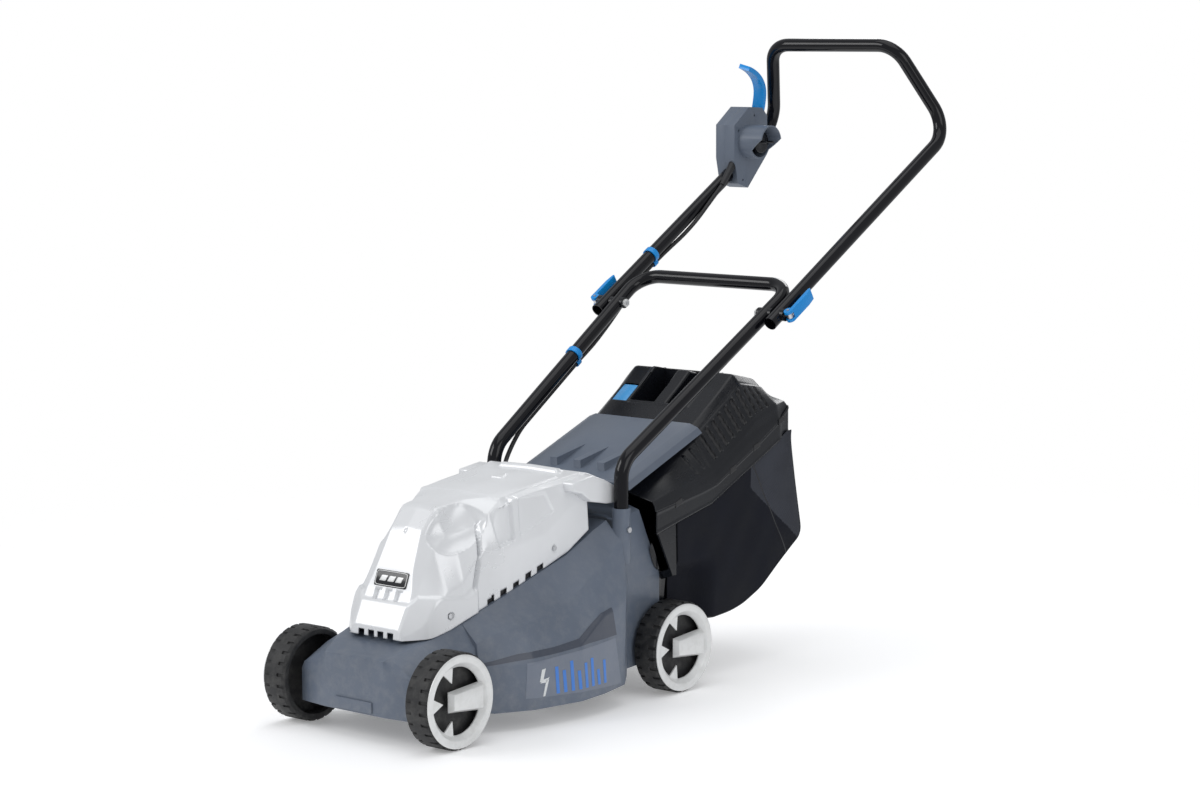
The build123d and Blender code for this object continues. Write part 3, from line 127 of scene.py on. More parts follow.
def areaLight(name, at, target, size, power, colour=(1, 1, 1)):
    data = bpy.data.lights.new(name, "AREA")
    data.shape = "RECTANGLE"
    data.size, data.size_y = size
    data.energy = power
    data.color = colour
    light = bpy.data.objects.new(name, data)
    bpy.context.scene.collection.objects.link(light)
    light.location = at
    light.rotation_euler = (Vector(target) - Vector(at)).to_track_quat("-Z", "Y").to_euler()


lightSet = {
    "key": 62, "fill": 24, "rim": 36, "top": 30, "world": 0.5, "backdrop": 1.0,
    "paperGlow": 0.22, "paperNear": 0.75, "paperFar": 2.1,
}


def paper(values):
    # white paper whose alpha falls with distance from the middle, so that it melts into the backdrop
    group = bpy.data.node_groups.new("paperFade", "ShaderNodeTree")
    for label in ("Near", "Far"):
        group.interface.new_socket(name=label, in_out="INPUT", socket_type="NodeSocketFloat")
    group.interface.new_socket(name="Alpha", in_out="OUTPUT", socket_type="NodeSocketFloat")
    given, out = group.nodes.new("NodeGroupInput"), group.nodes.new("NodeGroupOutput")
    length = group.nodes.new("ShaderNodeVectorMath")
    length.operation = "LENGTH"
    fade = group.nodes.new("ShaderNodeMapRange")
    fade.interpolation_type = "SMOOTHSTEP"
    fade.inputs["To Min"].default_value, fade.inputs["To Max"].default_value = 1, 0
    group.links.new(group.nodes.new("ShaderNodeTexCoord").outputs["Object"], length.inputs[0])
    group.links.new(length.outputs["Value"], fade.inputs["Value"])
    group.links.new(given.outputs["Near"], fade.inputs["From Min"])
    group.links.new(given.outputs["Far"], fade.inputs["From Max"])
    group.links.new(fade.outputs["Result"], out.inputs["Alpha"])
    sheet = bpy.data.materials.new("floorPaper")
    sheet.use_nodes = True
    shader = sheet.node_tree.nodes["Principled BSDF"]
    shader.inputs["Base Color"].default_value = (0.93, 0.93, 0.935, 1)
    shader.inputs["Roughness"].default_value = 0.6
    shader.inputs["Emission Color"].default_value = (1, 1, 1, 1)
    shader.inputs["Emission Strength"].default_value = values["paperGlow"]
    effect = sheet.node_tree.nodes.new("ShaderNodeGroup")
    effect.node_tree = group
    effect.inputs["Near"].default_value = values["paperNear"]
    effect.inputs["Far"].default_value = values["paperFar"]
    sheet.node_tree.links.new(effect.outputs["Alpha"], shader.inputs["Alpha"])
    return sheet


def makeStudio(values):
    areaLight("keyLight", (-2.2, -3.2, 2.6), (0, 0, 0.3), (2.4, 2.0), values["key"])
    areaLight("fillLight", (3.6, -0.6, 1.9), (0, 0.1, 0.3), (2.2, 2.2), values["fill"])
    areaLight("rimLight", (-1.2, 3.4, 2.4), (0, 0.2, 0.4), (2.0, 1.6), values["rim"])
    areaLight("topLight", (0.3, -0.2, 3.6), (0, 0, 0.3), (2.8, 3.2), values["top"])
    world = bpy.data.worlds.new("studio")
    bpy.context.scene.world = world
    world.use_nodes = True
    sky = world.node_tree.nodes["Background"]
    sky.inputs["Color"].default_value = (0.95, 0.97, 1.0, 1)
    sky.inputs["Strength"].default_value = values["world"]
    seen = world.node_tree.nodes.new("ShaderNodeBackground")
    seen.inputs["Color"].default_value = (1, 1, 1, 1)
    seen.inputs["Strength"].default_value = values["backdrop"]
    either = world.node_tree.nodes.new("ShaderNodeMixShader")
    path = world.node_tree.nodes.new("ShaderNodeLightPath")
    world.node_tree.links.new(path.outputs["Is Camera Ray"], either.inputs["Fac"])
    world.node_tree.links.new(sky.outputs[0], either.inputs[1])
    world.node_tree.links.new(seen.outputs[0], either.inputs[2])
    world.node_tree.links.new(either.outputs[0], world.node_tree.nodes["World Output"].inputs["Surface"])
    bpy.context.scene.view_settings.view_transform = "Standard"
    mesh = bpy.data.meshes.new("floor")
    mesh.from_pydata([(-14, -14, 0), (14, -14, 0), (14, 14, 0), (-14, 14, 0)], [], [(0, 1, 2, 3)])
    floor = bpy.data.objects.new("floor", mesh)
    bpy.context.scene.collection.objects.link(floor)
    mesh.materials.append(paper(values))
    floor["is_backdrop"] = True


makeCamera(cameraSet)
makeStudio(lightSet)
print("studio ready")


def startGroup(name, inputs, outputs):
    group = bpy.data.node_groups.new(name, "ShaderNodeTree")
    for label, kind, value in inputs:
        socket = group.interface.new_socket(name=label, in_out="INPUT", socket_type=kind)
        if value is not None:
            socket.default_value = value
    for label, kind in outputs:
        group.interface.new_socket(name=label, in_out="OUTPUT", socket_type=kind)
    return group, group.nodes.new("NodeGroupInput"), group.nodes.new("NodeGroupOutput")


def scaleNoise(tree, scale, detail, rough, vector):
    noise = tree.nodes.new("ShaderNodeTexNoise")
    noise.inputs["Detail"].default_value = detail
    noise.inputs["Roughness"].default_value = rough
    if isinstance(scale, (int, float)):
        noise.inputs["Scale"].default_value = scale
    else:
        tree.links.new(scale, noise.inputs["Scale"])
    tree.links.new(vector, noise.inputs["Vector"])
    return noise.outputs["Fac"]


def remap(tree, value, fromLow, fromHigh, toLow, toHigh):
    # straight line from one range to another; ends may be numbers or sockets
    node = tree.nodes.new("ShaderNodeMapRange")
    tree.links.new(value, node.inputs["Value"])
    for label, end in (("From Min", fromLow), ("From Max", fromHigh), ("To Min", toLow), ("To Max", toHigh)):
        if isinstance(end, (int, float)):
            node.inputs[label].default_value = end
        else:
            tree.links.new(end, node.inputs[label])
    return node.outputs["Result"]


def arithmetic(tree, kind, first, second):
    node = tree.nodes.new("ShaderNodeMath")
    node.operation = kind
    for slot, end in zip(node.inputs, (first, second)):
        if isinstance(end, (int, float)):
            slot.default_value = end
        else:
            tree.links.new(end, slot)
    return node.outputs[0]


def mixColour(tree, factor, first, second, kind="MIX"):
    node = tree.nodes.new("ShaderNodeMix")
    node.data_type = "RGBA"
    node.blend_type = kind
    sockets = (node.inputs[0], node.inputs[6], node.inputs[7])
    for slot, end in zip(sockets, (factor, first, second)):
        if isinstance(end, (int, float, tuple)):
            slot.default_value = end
        else:
            tree.links.new(end, slot)
    return node.outputs[2]


finishOutputs = [
    ("Colour", "NodeSocketColor"), ("Roughness", "NodeSocketFloat"), ("Height", "NodeSocketFloat"),
]
dustColour = (0.42, 0.41, 0.38, 1)
stainColour = (0.22, 0.19, 0.16, 1)


def mouldedGroup():
    # moulded plastic: broad tone drift, fine grain, faint scratches and dust that thickens towards the ground
    tree, given, out = startGroup("mouldedPlastic", [
        ("Tone", "NodeSocketColor", None), ("Drift", "NodeSocketFloat", 0.06),
        ("Grain Scale", "NodeSocketFloat", 900.0), ("Grain", "NodeSocketFloat", 0.5),
        ("Rough Low", "NodeSocketFloat", 0.3), ("Rough High", "NodeSocketFloat", 0.42),
        ("Dust", "NodeSocketFloat", 0.15),
    ], finishOutputs)
    place = tree.nodes.new("ShaderNodeTexCoord").outputs["Object"]
    broad = scaleNoise(tree, 9.0, 3, 0.5, place)
    fine = scaleNoise(tree, given.outputs["Grain Scale"], 2, 0.5, place)
    stretch = tree.nodes.new("ShaderNodeMapping")
    stretch.inputs["Scale"].default_value = (1, 0.06, 1)
    stretch.inputs["Rotation"].default_value = (0.5, 0.3, 0.4)
    tree.links.new(place, stretch.inputs["Vector"])
    scratch = remap(tree, scaleNoise(tree, 260.0, 2, 0.6, stretch.outputs["Vector"]), 0.66, 0.72, 0.0, 1.0)
    low = arithmetic(tree, "MULTIPLY", given.outputs["Drift"], -1.0)
    drift = arithmetic(tree, "ADD", 1.0, remap(tree, broad, 0.3, 0.7, low, given.outputs["Drift"]))
    grey = tree.nodes.new("ShaderNodeCombineColor")
    for slot in grey.inputs:
        tree.links.new(drift, slot)
    toned = mixColour(tree, 1.0, given.outputs["Tone"], grey.outputs[0], "MULTIPLY")
    parts = tree.nodes.new("ShaderNodeSeparateXYZ")
    tree.links.new(place, parts.inputs[0])
    nearGround = remap(tree, parts.outputs["Z"], 0.02, 0.32, 1.0, 0.12)
    specks = remap(tree, scaleNoise(tree, 60.0, 6, 0.7, place), 0.45, 0.75, 0.0, 1.0)
    dust = arithmetic(tree, "MULTIPLY", nearGround, specks)
    dust = arithmetic(tree, "MULTIPLY", dust, given.outputs["Dust"])
    tree.links.new(mixColour(tree, dust, toned, dustColour), out.inputs["Colour"])
    rough = remap(tree, broad, 0.3, 0.7, given.outputs["Rough Low"], given.outputs["Rough High"])
    rough = arithmetic(tree, "ADD", rough, arithmetic(tree, "MULTIPLY", scratch, 0.08))
    rough = arithmetic(tree, "ADD", rough, arithmetic(tree, "MULTIPLY", dust, 0.6))
    tree.links.new(rough, out.inputs["Roughness"])
    bumps = arithmetic(tree, "MULTIPLY", fine, given.outputs["Grain"])
    bumps = arithmetic(tree, "SUBTRACT", bumps, arithmetic(tree, "MULTIPLY", scratch, 0.25))
    tree.links.new(bumps, out.inputs["Height"])
    return tree


def wornMetalGroup():
    # brushed or cast metal: streaks along one way, spots of tarnish
    tree, given, out = startGroup("wornMetal", [
        ("Tone", "NodeSocketColor", None), ("Streak Scale", "NodeSocketFloat", 500.0),
        ("Tarnish", "NodeSocketFloat", 0.3),
        ("Rough Low", "NodeSocketFloat", 0.22), ("Rough High", "NodeSocketFloat", 0.4),
    ], finishOutputs)
    place = tree.nodes.new("ShaderNodeTexCoord").outputs["Object"]
    stretch = tree.nodes.new("ShaderNodeMapping")
    stretch.inputs["Scale"].default_value = (0.08, 1, 1)
    tree.links.new(place, stretch.inputs["Vector"])
    streak = scaleNoise(tree, given.outputs["Streak Scale"], 3, 0.6, stretch.outputs["Vector"])
    spots = remap(tree, scaleNoise(tree, 45.0, 5, 0.65, place), 0.48, 0.7, 0.0, 1.0)
    stain = arithmetic(tree, "MULTIPLY", spots, given.outputs["Tarnish"])
    tree.links.new(mixColour(tree, stain, given.outputs["Tone"], stainColour), out.inputs["Colour"])
    rough = remap(tree, streak, 0.3, 0.7, given.outputs["Rough Low"], given.outputs["Rough High"])
    rough = arithmetic(tree, "ADD", rough, arithmetic(tree, "MULTIPLY", stain, 0.3))
    tree.links.new(rough, out.inputs["Roughness"])
    tree.links.new(streak, out.inputs["Height"])
    return tree


moulded = mouldedGroup()
wornMetal = wornMetalGroup()


def finishWith(name, group, settings, bump, depth, extra):
    material = bpy.data.materials.new(name)
    material.use_nodes = True
    tree = material.node_tree
    shader = tree.nodes["Principled BSDF"]
    effect = tree.nodes.new("ShaderNodeGroup")
    effect.node_tree = group
    for label, value in settings.items():
        effect.inputs[label].default_value = value
    tree.links.new(effect.outputs["Colour"], shader.inputs["Base Color"])
    tree.links.new(effect.outputs["Roughness"], shader.inputs["Roughness"])
    relief = tree.nodes.new("ShaderNodeBump")
    relief.inputs["Strength"].default_value = bump
    relief.inputs["Distance"].default_value = depth
    tree.links.new(effect.outputs["Height"], relief.inputs["Height"])
    tree.links.new(relief.outputs["Normal"], shader.inputs["Normal"])
    for label, value in extra.items():
        shader.inputs[label].default_value = value
    return material


def plastic(name, tone, roughLow, roughHigh, grain=0.5, drift=0.06, dust=0.15, bump=0.25, **extra):
    settings = {
        "Tone": tone + (1,), "Rough Low": roughLow, "Rough High": roughHigh,
        "Grain": grain, "Drift": drift, "Dust": dust,
    }
    return finishWith(name, moulded, settings, bump, 0.0004, extra)


def metal(name, tone, roughLow, roughHigh, tarnish, **extra):
    settings = {"Tone": tone + (1,), "Rough Low": roughLow, "Rough High": roughHigh, "Tarnish": tarnish}
    return finishWith(name, wornMetal, settings, 0.12, 0.0003, {"Metallic": 1.0, **extra})


finishes = {
    "deck_plastic": plastic("slatePlastic", (0.115, 0.14, 0.185), 0.36, 0.46, 0.7, 0.07, 0.2),
    "cover_plastic": plastic("silverPearl", (0.8, 0.81, 0.825), 0.26, 0.34, 0.35, 0.03, 0.05, 0.12,
                             Metallic=0.2),
    "wheel_silver": plastic("wheelSilver", (0.74, 0.745, 0.74), 0.3, 0.4, 0.4, 0.04, 0.3, 0.15, Metallic=0.3),
    "tyre_black": plastic("tyreRubber", (0.013, 0.013, 0.014), 0.5, 0.68, 1.0, 0.2, 0.12, 0.5),
    "handle_paint": plastic("glossBlackPaint", (0.004, 0.004, 0.006), 0.07, 0.12, 0.15, 0.1, 0.0, 0.03,
                            **{"Specular IOR Level": 0.32}),
    "black_plastic": plastic("blackPlastic", (0.007, 0.008, 0.011), 0.2, 0.3, 0.7, 0.15, 0.03, 0.3,
                             **{"Specular IOR Level": 0.38}),
    "blue_plastic": plastic("skyBluePlastic", (0.004, 0.27, 0.72), 0.2, 0.3, 0.3, 0.05, 0.0, 0.1),
    "pale_blue": plastic("indicatorBlue", (0.08, 0.36, 0.74), 0.18, 0.28, 0.3, 0.05, 0.0, 0.1),
    "badge": plastic("badgeBlack", (0.012, 0.013, 0.016), 0.15, 0.22, 0.2, 0.05, 0.0, 0.08),
    "steel": metal("zincSteel", (0.6, 0.61, 0.63), 0.22, 0.38, 0.2),
    "cast_alloy": metal("castAlloy", (0.56, 0.57, 0.59), 0.35, 0.5, 0.25),
    "copper": metal("windingCopper", (0.72, 0.33, 0.16), 0.25, 0.4, 0.15),
    "cable_jacket": plastic("cableJacket", (0.012, 0.012, 0.014), 0.4, 0.52, 0.8, 0.15, 0.0, 0.3),
}
slotOf = {entry["node"]: entry["material_slot"] for entry in frame["record"]["subparts"]}
bodyOf = {name: body for body, names in frame["record"]["behaviour"]["bodies"].items() for name in names}


def bagGroup():
    # plain weave from two crossed waves on the cloth's own UV, with worn drift and painted shade in the
    # hollows between threads
    tree, given, out = startGroup("bagWeave", [
        ("Tone", "NodeSocketColor", None), ("Threads", "NodeSocketFloat", 260.0),
    ], finishOutputs)
    cloth = tree.nodes.new("ShaderNodeUVMap").outputs["UV"]
    parts = tree.nodes.new("ShaderNodeSeparateXYZ")
    tree.links.new(cloth, parts.inputs[0])
    waves = []
    for way in ("X", "Y"):
        count = arithmetic(tree, "MULTIPLY", parts.outputs[way], given.outputs["Threads"])
        wave = arithmetic(tree, "SINE", arithmetic(tree, "MULTIPLY", count, 6.2832), 0.0)
        waves.append(arithmetic(tree, "ABSOLUTE", wave, 0.0))
    height = arithmetic(tree, "MAXIMUM", waves[0], waves[1])
    broad = scaleNoise(tree, 14.0, 5, 0.6, tree.nodes.new("ShaderNodeTexCoord").outputs["Object"])
    worn = remap(tree, broad, 0.3, 0.7, 0.8, 1.25)
    # colour: random worn drift times painted shade, darker where the threads dip
    shade = arithmetic(tree, "MULTIPLY", worn, remap(tree, height, 0.2, 1.0, 0.55, 1.1))
    grey = tree.nodes.new("ShaderNodeCombineColor")
    for slot in grey.inputs:
        tree.links.new(shade, slot)
    toned = mixColour(tree, 1.0, given.outputs["Tone"], grey.outputs[0], "MULTIPLY")
    tree.links.new(toned, out.inputs["Colour"])
    tree.links.new(remap(tree, broad, 0.3, 0.7, 0.72, 0.9), out.inputs["Roughness"])
    tree.links.new(height, out.inputs["Height"])
    return tree


weave = bagGroup()
finishes["bag_cloth"] = finishWith("wovenBag", weave, {"Tone": (0.006, 0.007, 0.012, 1), "Threads": 240.0},
                                   0.35, 0.0005, {"Specular IOR Level": 0.2})
meshCloth = finishWith("openMeshCloth", weave, {"Tone": (0.035, 0.038, 0.048, 1), "Threads": 110.0},
                       0.6, 0.0006, {"Specular IOR Level": 0.25})
print("finishes ready,", len(finishes) + 1)


for name, node in nodes.items():
    node.data.materials.clear()
    node.data.materials.append(finishes[slotOf[name]])

# bevel width in metres and the angle in degrees above which an edge counts as sharp
wheelCorners = ("front_left", "front_right", "rear_left", "rear_right")
roundedEdges = {
    "deck": (0.0016, 32), "rear_flap": (0.0008, 30),
    "switch_box_outer": (0.0018, 30), "switch_box_inner": (0.0014, 30), "switch_lever": (0.0016, 40),
    "cam_lever_left": (0.001, 30), "cam_lever_right": (0.001, 30),
    "level_indicator": (0.0005, 30), "badge_plate": (0.0004, 30),
    **{corner + "_cap": (0.0008, 30) for corner in wheelCorners},
    **{corner + "_wheel": (0.0006, 40) for corner in wheelCorners},
    "cutting_blade": (0.0004, 30), "blade_carrier": (0.0006, 30),
    "height_brackets": (0.0004, 30), "cooling_fan": (0.0003, 30),
    "mains_inlet": (0.0004, 30), "upper_cable_clip": (0.0004, 30), "lower_cable_clip": (0.0004, 30),
}


def softened(name, width, angle):
    # merged copy of a node with its sharp edges rounded and its flat facets shaded smoothly
    source = nodes[name]
    mesh = source.data.copy()
    work = bmesh.new()
    work.from_mesh(mesh)
    bmesh.ops.remove_doubles(work, verts=work.verts, dist=1e-6)
    work.to_mesh(mesh)
    work.free()
    piece = bpy.data.objects.new(name + "Shown", mesh)
    bpy.context.scene.collection.objects.link(piece)
    bevel = piece.modifiers.new("rounding", "BEVEL")
    bevel.width = width
    bevel.segments = 2
    bevel.limit_method = "ANGLE"
    bevel.angle_limit = math.radians(angle)
    bevel.use_clamp_overlap = True
    shown = bpy.data.meshes.new_from_object(piece.evaluated_get(bpy.context.evaluated_depsgraph_get()))
    piece.modifiers.clear()
    piece.data = shown
    shown.shade_smooth()
    shown.set_sharp_from_angle(angle=math.radians(angle + 4))
    shown.name = piece.name
    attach(piece, bodyOf[name])
    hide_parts(name)
    return piece


shownPieces = {name: softened(name, width, angle) for name, (width, angle) in roundedEdges.items()}
for name in ("upper_handle", "lower_handle", "upper_cable", "fold_cable", "lower_cable", "cable_boot"):
    nodes[name].data.shade_smooth()
print("softened", len(shownPieces), "nodes")


def bentCable(name):
    # copy of the cable, baked into its world place and shown instead of the node
    piece = bpy.data.objects.new(name + "Shown", nodes[name].data.copy())
    bpy.context.scene.collection.objects.link(piece)
    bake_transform(piece)
    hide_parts(name)


bentCable("fold_cable")


def toMesh(name, points, faces, body, finish, uv=None, smooth=True, replaced=()):
    mesh = bpy.data.meshes.new(name)
    mesh.from_pydata(points.reshape(-1, 3), [], faces)
    if uv is not None:
        layer = mesh.uv_layers.new(name="cloth")
        corner = np.empty(len(mesh.loops), dtype=np.int32)
        mesh.loops.foreach_get("vertex_index", corner)
        layer.data.foreach_set("uv", uv.reshape(-1, 2)[corner].astype(np.float32).ravel())
    mesh.materials.append(finish)
    if smooth:
        mesh.shade_smooth()
    piece = bpy.data.objects.new(name, mesh)
    bpy.context.scene.collection.objects.link(piece)
    if body:
        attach(piece, body)
    if replaced:
        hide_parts(*replaced)
    return piece


def gridFaces(rows, columns, closed=False):
    # quads between neighbouring rows and columns of a grid of points
    span = columns if closed else columns - 1
    i, j = np.meshgrid(np.arange(rows - 1), np.arange(span), indexing="ij")
    k = (j + 1) % columns
    near, far = i * columns, (i + 1) * columns
    return np.stack([near + j, near + k, far + k, far + j], -1).reshape(-1, 4)


def smoothStep(value, low, high):
    t = np.clip((value - low) / (high - low), 0, 1)
    return t * t * (3 - 2 * t)


# grass bag: lines as (behind the axle, height) in millimetres, cloth in metres
bag = {
    "rimLine": [
        (503.4, 257.6), (510, 259.4), (586, 276.4), (657, 309.4), (729, 343.4), (782, 370.2), (793, 371.0),
    ],
    "foldLine": [
        (503.4, 101.5), (562, 97.5), (592, 97), (640, 101), (672, 108), (718, 127), (764, 160),
        (800, 184), (822, 198), (823.5, 206), (815, 246), (806, 290), (797, 340), (793, 370),
    ],
    "foldRounding": 5, "halfWidth": 148.6, "foldRadius": 3.2,
    "tuck": 22.0, "tuckHeights": (166, 200), "tuckEnd": (556, 600),
    "bulge": 2.6, "floorWrinkle": 0.75, "sideHollow": 0.52, "sideWrinkle": 1.05,
    "netFront": 688, "netRear": 800, "netFoot": 205, "netSlope": 0.75, "panelHalf": 120, "panelFoot": 215,
    "cloth": 0.0009, "seam": 0.0016, "seamAt": 0.58, "rows": 200, "sideColumns": 64, "floorColumns": 64,
}


def alongLine(line, share):
    # points at equal shares of a broken line's own length
    pts = np.array(line, float)
    run = np.concatenate([[0], np.cumsum(np.hypot(*np.diff(pts, axis=0).T))])
    return np.interp(share * run[-1], run, pts[:, 0]), np.interp(share * run[-1], run, pts[:, 1])


def bagSurface(v):
    # one sheet: down the left side from rim to fold, across the floor and rear panel, and up the right side.
    # s runs from the mouth along the floor and up the rear; each s joins a rim point to a fold point
    s = np.linspace(0, 1, v["rows"])
    foldY, foldZ = alongLine(v["foldLine"], s)
    rimY, rimZ = alongLine(v["rimLine"], s ** 0.8)
    reach = v["foldRounding"]
    mean = np.ones(2 * reach + 1) / (2 * reach + 1)
    foldY = np.convolve(np.pad(foldY, reach, mode="edge"), mean, "valid")
    foldZ = np.convolve(np.pad(foldZ, reach, mode="edge"), mean, "valid")
    t = np.linspace(0, 1, v["sideColumns"])
    y = rimY[:, None] + (foldY - rimY)[:, None] * t
    z = rimZ[:, None] + (foldZ - rimZ)[:, None] * t
    # sides: drawn in beside the wheels, rounded at the fold and rippled by two crossing waves
    tuckLow, tuckHigh = v["tuckHeights"]
    tuck = v["tuck"] * smoothStep(-z, -tuckHigh, -tuckLow) * (1 - smoothStep(y, *v["tuckEnd"]))
    ripple = np.sin(0.052 * y + 0.043 * z + 1.1 * np.sin(0.021 * z))
    ripple += 0.6 * np.sin(0.09 * y - 0.061 * z + 0.7)
    ends = smoothStep(s, 0, 0.1) * (1 - smoothStep(s, 0.9, 1))
    swell = np.sin(np.pi * t)[None, :] * ends[:, None] * (v["sideWrinkle"] * ripple - v["sideHollow"])
    x = v["halfWidth"] - tuck - v["foldRadius"] * t[None, :] ** 6 + swell
    # floor and rear: bulged along their own normal, most in the middle, with folds across
    u = np.linspace(1, -1, v["floorColumns"] + 2)[1:-1]
    floorX = x[:, -1:] * u
    ends = smoothStep(s, 0.02, 0.2) * (1 - smoothStep(s, 0.93, 1))
    folds = np.sin(0.065 * floorX + 9 * s[:, None]) + 0.5 * np.sin(0.11 * floorX - 14 * s[:, None])
    push = (1 - u ** 2)[None, :] * ends[:, None] * (v["bulge"] + v["floorWrinkle"] * folds)
    slopeY, slopeZ = np.gradient(foldY), np.gradient(foldZ)
    length = np.hypot(slopeY, slopeZ) + 1e-9
    floorY = foldY[:, None] + (slopeZ / length)[:, None] * push * 0.6
    floorZ = foldZ[:, None] - (slopeY / length)[:, None] * push * 0.6
    left = np.stack([x, y, z], -1)
    floor = np.stack([floorX, floorY, floorZ], -1)
    right = np.stack([-x, y, z], -1)[:, ::-1]
    points = np.concatenate([left, floor, right], 1)
    points = np.stack([points[..., 0] / 1000, back(points[..., 1]), points[..., 2] / 1000], -1)
    girth = np.linalg.norm(np.diff(points[len(points) // 3], axis=0), axis=1)
    across = np.concatenate([[0], np.cumsum(girth)])
    down = np.concatenate([[0], np.cumsum(np.hypot(np.diff(foldY), np.diff(foldZ)))]) / 1000
    uv = np.stack(np.broadcast_arrays(across[None, :], down[:, None]), -1)
    return points, uv


def pipe(path, radius, sides=8):
    # round bead carried along a path of points
    step = np.gradient(path, axis=0)
    step /= np.linalg.norm(step, axis=1)[:, None] + 1e-12
    lead = np.cross(step, np.array([0.31, 0.2, 0.93]))
    lead /= np.linalg.norm(lead, axis=1)[:, None] + 1e-12
    other = np.cross(step, lead)
    turn = np.linspace(0, 2 * np.pi, sides, endpoint=False)
    ring = lead[:, None] * np.cos(turn)[:, None] + other[:, None] * np.sin(turn)[:, None]
    return path[:, None] + radius * ring


def pipeFaces(count, sides=8):
    # the bead's skin and its two end caps
    skin = gridFaces(count, sides, closed=True).tolist()
    return skin + [list(range(sides))[::-1], list(range((count - 1) * sides, count * sides))]


def joined(parts):
    # several (points, faces) shapes as one
    points, faces, start = [], [], 0
    for shape, quads in parts:
        flat = shape.reshape(-1, 3)
        points.append(flat)
        faces += [[int(k) + start for k in quad] for quad in quads]
        start += len(flat)
    return np.concatenate(points), faces


def makeBag(v):
    points, uv = bagSurface(v)
    rows, columns = points.shape[:2]
    faces = gridFaces(rows, columns)[:, ::-1].tolist()
    piece = toMesh("grassBagCloth", points, faces, None, finishes["bag_cloth"], uv)
    piece.data.materials.append(meshCloth)
    # open mesh towards the rear, above a line that falls backwards, and on the upper rear panel
    centre = points[:-1, :-1] / 2 + points[1:, 1:] / 2
    x, y, z = np.moveaxis(centre, -1, 0)
    line = v["netFoot"] / 1000 + (back(v["netRear"]) - y) * v["netSlope"]
    netted = (y > back(v["netFront"])) & (z > line)
    netted |= (np.abs(x) <= v["panelHalf"] / 1000) & (z > v["panelFoot"] / 1000)
    piece.data.polygons.foreach_set("material_index", netted.astype(np.int32).ravel())
    thick = piece.modifiers.new("cloth", "SOLIDIFY")
    thick.thickness = v["cloth"]
    thick.offset = -1
    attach(piece, "grass_box")
    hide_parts("grass_bag")
    last = v["sideColumns"]
    seams = [points[:, last - 1], points[:, columns - last], points[int(rows * v["seamAt"])]]
    beads = joined([(pipe(seam, v["seam"]), pipeFaces(len(seam))) for seam in seams])
    toMesh("grassBagSeams", beads[0], beads[1], "grass_box", finishes["black_plastic"])


makeBag(bag)
print("bag sewn")


# motor cover skin: a shell drawn smoothly through these cross-sections, each a distance behind the axle and
# half an outline from the top's edge to the rim, in millimetres; most pairs say where an edge fades in or out
cover = {
    "stations": [
        (2, [(42, 152), (46, 149), (47, 145), (47, 141)]),
        (15, [(43, 178), (47, 174), (60, 152), (63, 142)]),
        (28, [(45, 204), (50, 199), (74, 165), (78, 144)]),
        (41, [(36, 238), (50, 216), (78, 190), (80, 147)]),
        (64, [(30, 288), (54, 262), (82, 206), (84, 153)]),
        (92, [(32, 320), (58, 286), (84, 216), (87, 163)]),
        (142, [(38, 327), (72, 300), (88, 262), (90, 179)]),
        (182, [(62, 331), (93, 325), (98, 258), (94, 192)]),
        (255, [(84, 338), (96, 334), (100, 268), (98, 218)]),
        (306, [(87, 344), (97, 338), (101, 300), (100, 236)]),
        (346, [(88, 348), (97, 342), (103, 312), (106, 264)]),
    ],
    "rows": 300, "spans": (34, 18, 34, 30), "crown": 2.2, "crownFrom": 50, "shell": 2.0,
    "frontFoot": 141.4, "frontRows": 8, "shadeSheetGap": 3.6,
    "band": 3.4, "bandEnd": 120,
    "bandTop": [(2, 184), (20, 188), (32, 199), (50, 199), (95, 193), (120, 200)],
    "scoop": {"y": 108, "z": 290, "long": 44, "tall": 29, "lean": 0.36, "deep": 14, "flank": (33, 40)},
    "panelEdge": (93, 196, 0.08), "groove": (117, 202, 0.24), "postEdge": (168, 211, -0.15),
    "post": {"turn": 5.0, "cut": 6.5, "cutHalf": 2, "flank": (52, 60), "top": (296, 308)},
    "midLine": [(160, 257), (211, 274), (269, 296), (310, 312)], "midFlank": (78, 86), "midTop": (326, 332),
    "recess": {"deep": 7.0, "end": 190},
    "block": {"proud": 2.6, "front": (200, 206), "rear": (281, 288, -0.55)},
    "plate": {"proud": 1.8, "y": (176, 306), "side": (78, 81), "z": (300, 320)},
    "mark": {"proud": 1.4, "base": 258, "tip": 282, "slope": 0.55}, "topFrom": 320,
    "ridge": {"proud": 5.0, "y": 334, "half": 7.5, "side": (56, 60)},
    "dent": (64, 288, 4.2), "dentDeep": 1.6, "screws": [(66, 172), (276, 244)], "screwDeep": 1.0,
    "step": {"deep": 5.5, "x": (-21, 0, 21), "half": 6, "z": (192, 207), "end": 40},
    "teeth": [(146 + 25 * k, 13) for k in range(5)], "toothTall": 8.5,
    "vents": (-28.5, -9.5, 9.5, 28.5), "ventHalf": 6.2, "ventTop": 149.5,
    "wing": [
        (300, 340), (346, 346), (372, 337), (394, 326), (401, 312), (401, 299), (376, 300), (340, 307),
        (318, 322), (300, 326),
    ],
    "saddle": [
        (340, 345), (350, 349), (372, 341), (396, 327), (402, 312), (402, 305), (372, 318), (346, 330),
    ],
}


def heightAlong(line, y):
    pts = np.array(line, float)
    return np.interp(y, pts[:, 0], pts[:, 1])


def blurred(values, width, axis):
    # running mean along one axis, mirrored beyond both ends so that they hardly move
    pad = [(0, 0)] * values.ndim
    pad[axis] = (width, width)
    run = np.cumsum(np.pad(values, pad, mode="reflect", reflect_type="odd"), axis=axis)
    span = 2 * width
    upper = np.take(run, np.arange(span, run.shape[axis]), axis=axis)
    lower = np.take(run, np.arange(0, run.shape[axis] - span), axis=axis)
    return (upper - lower) / span


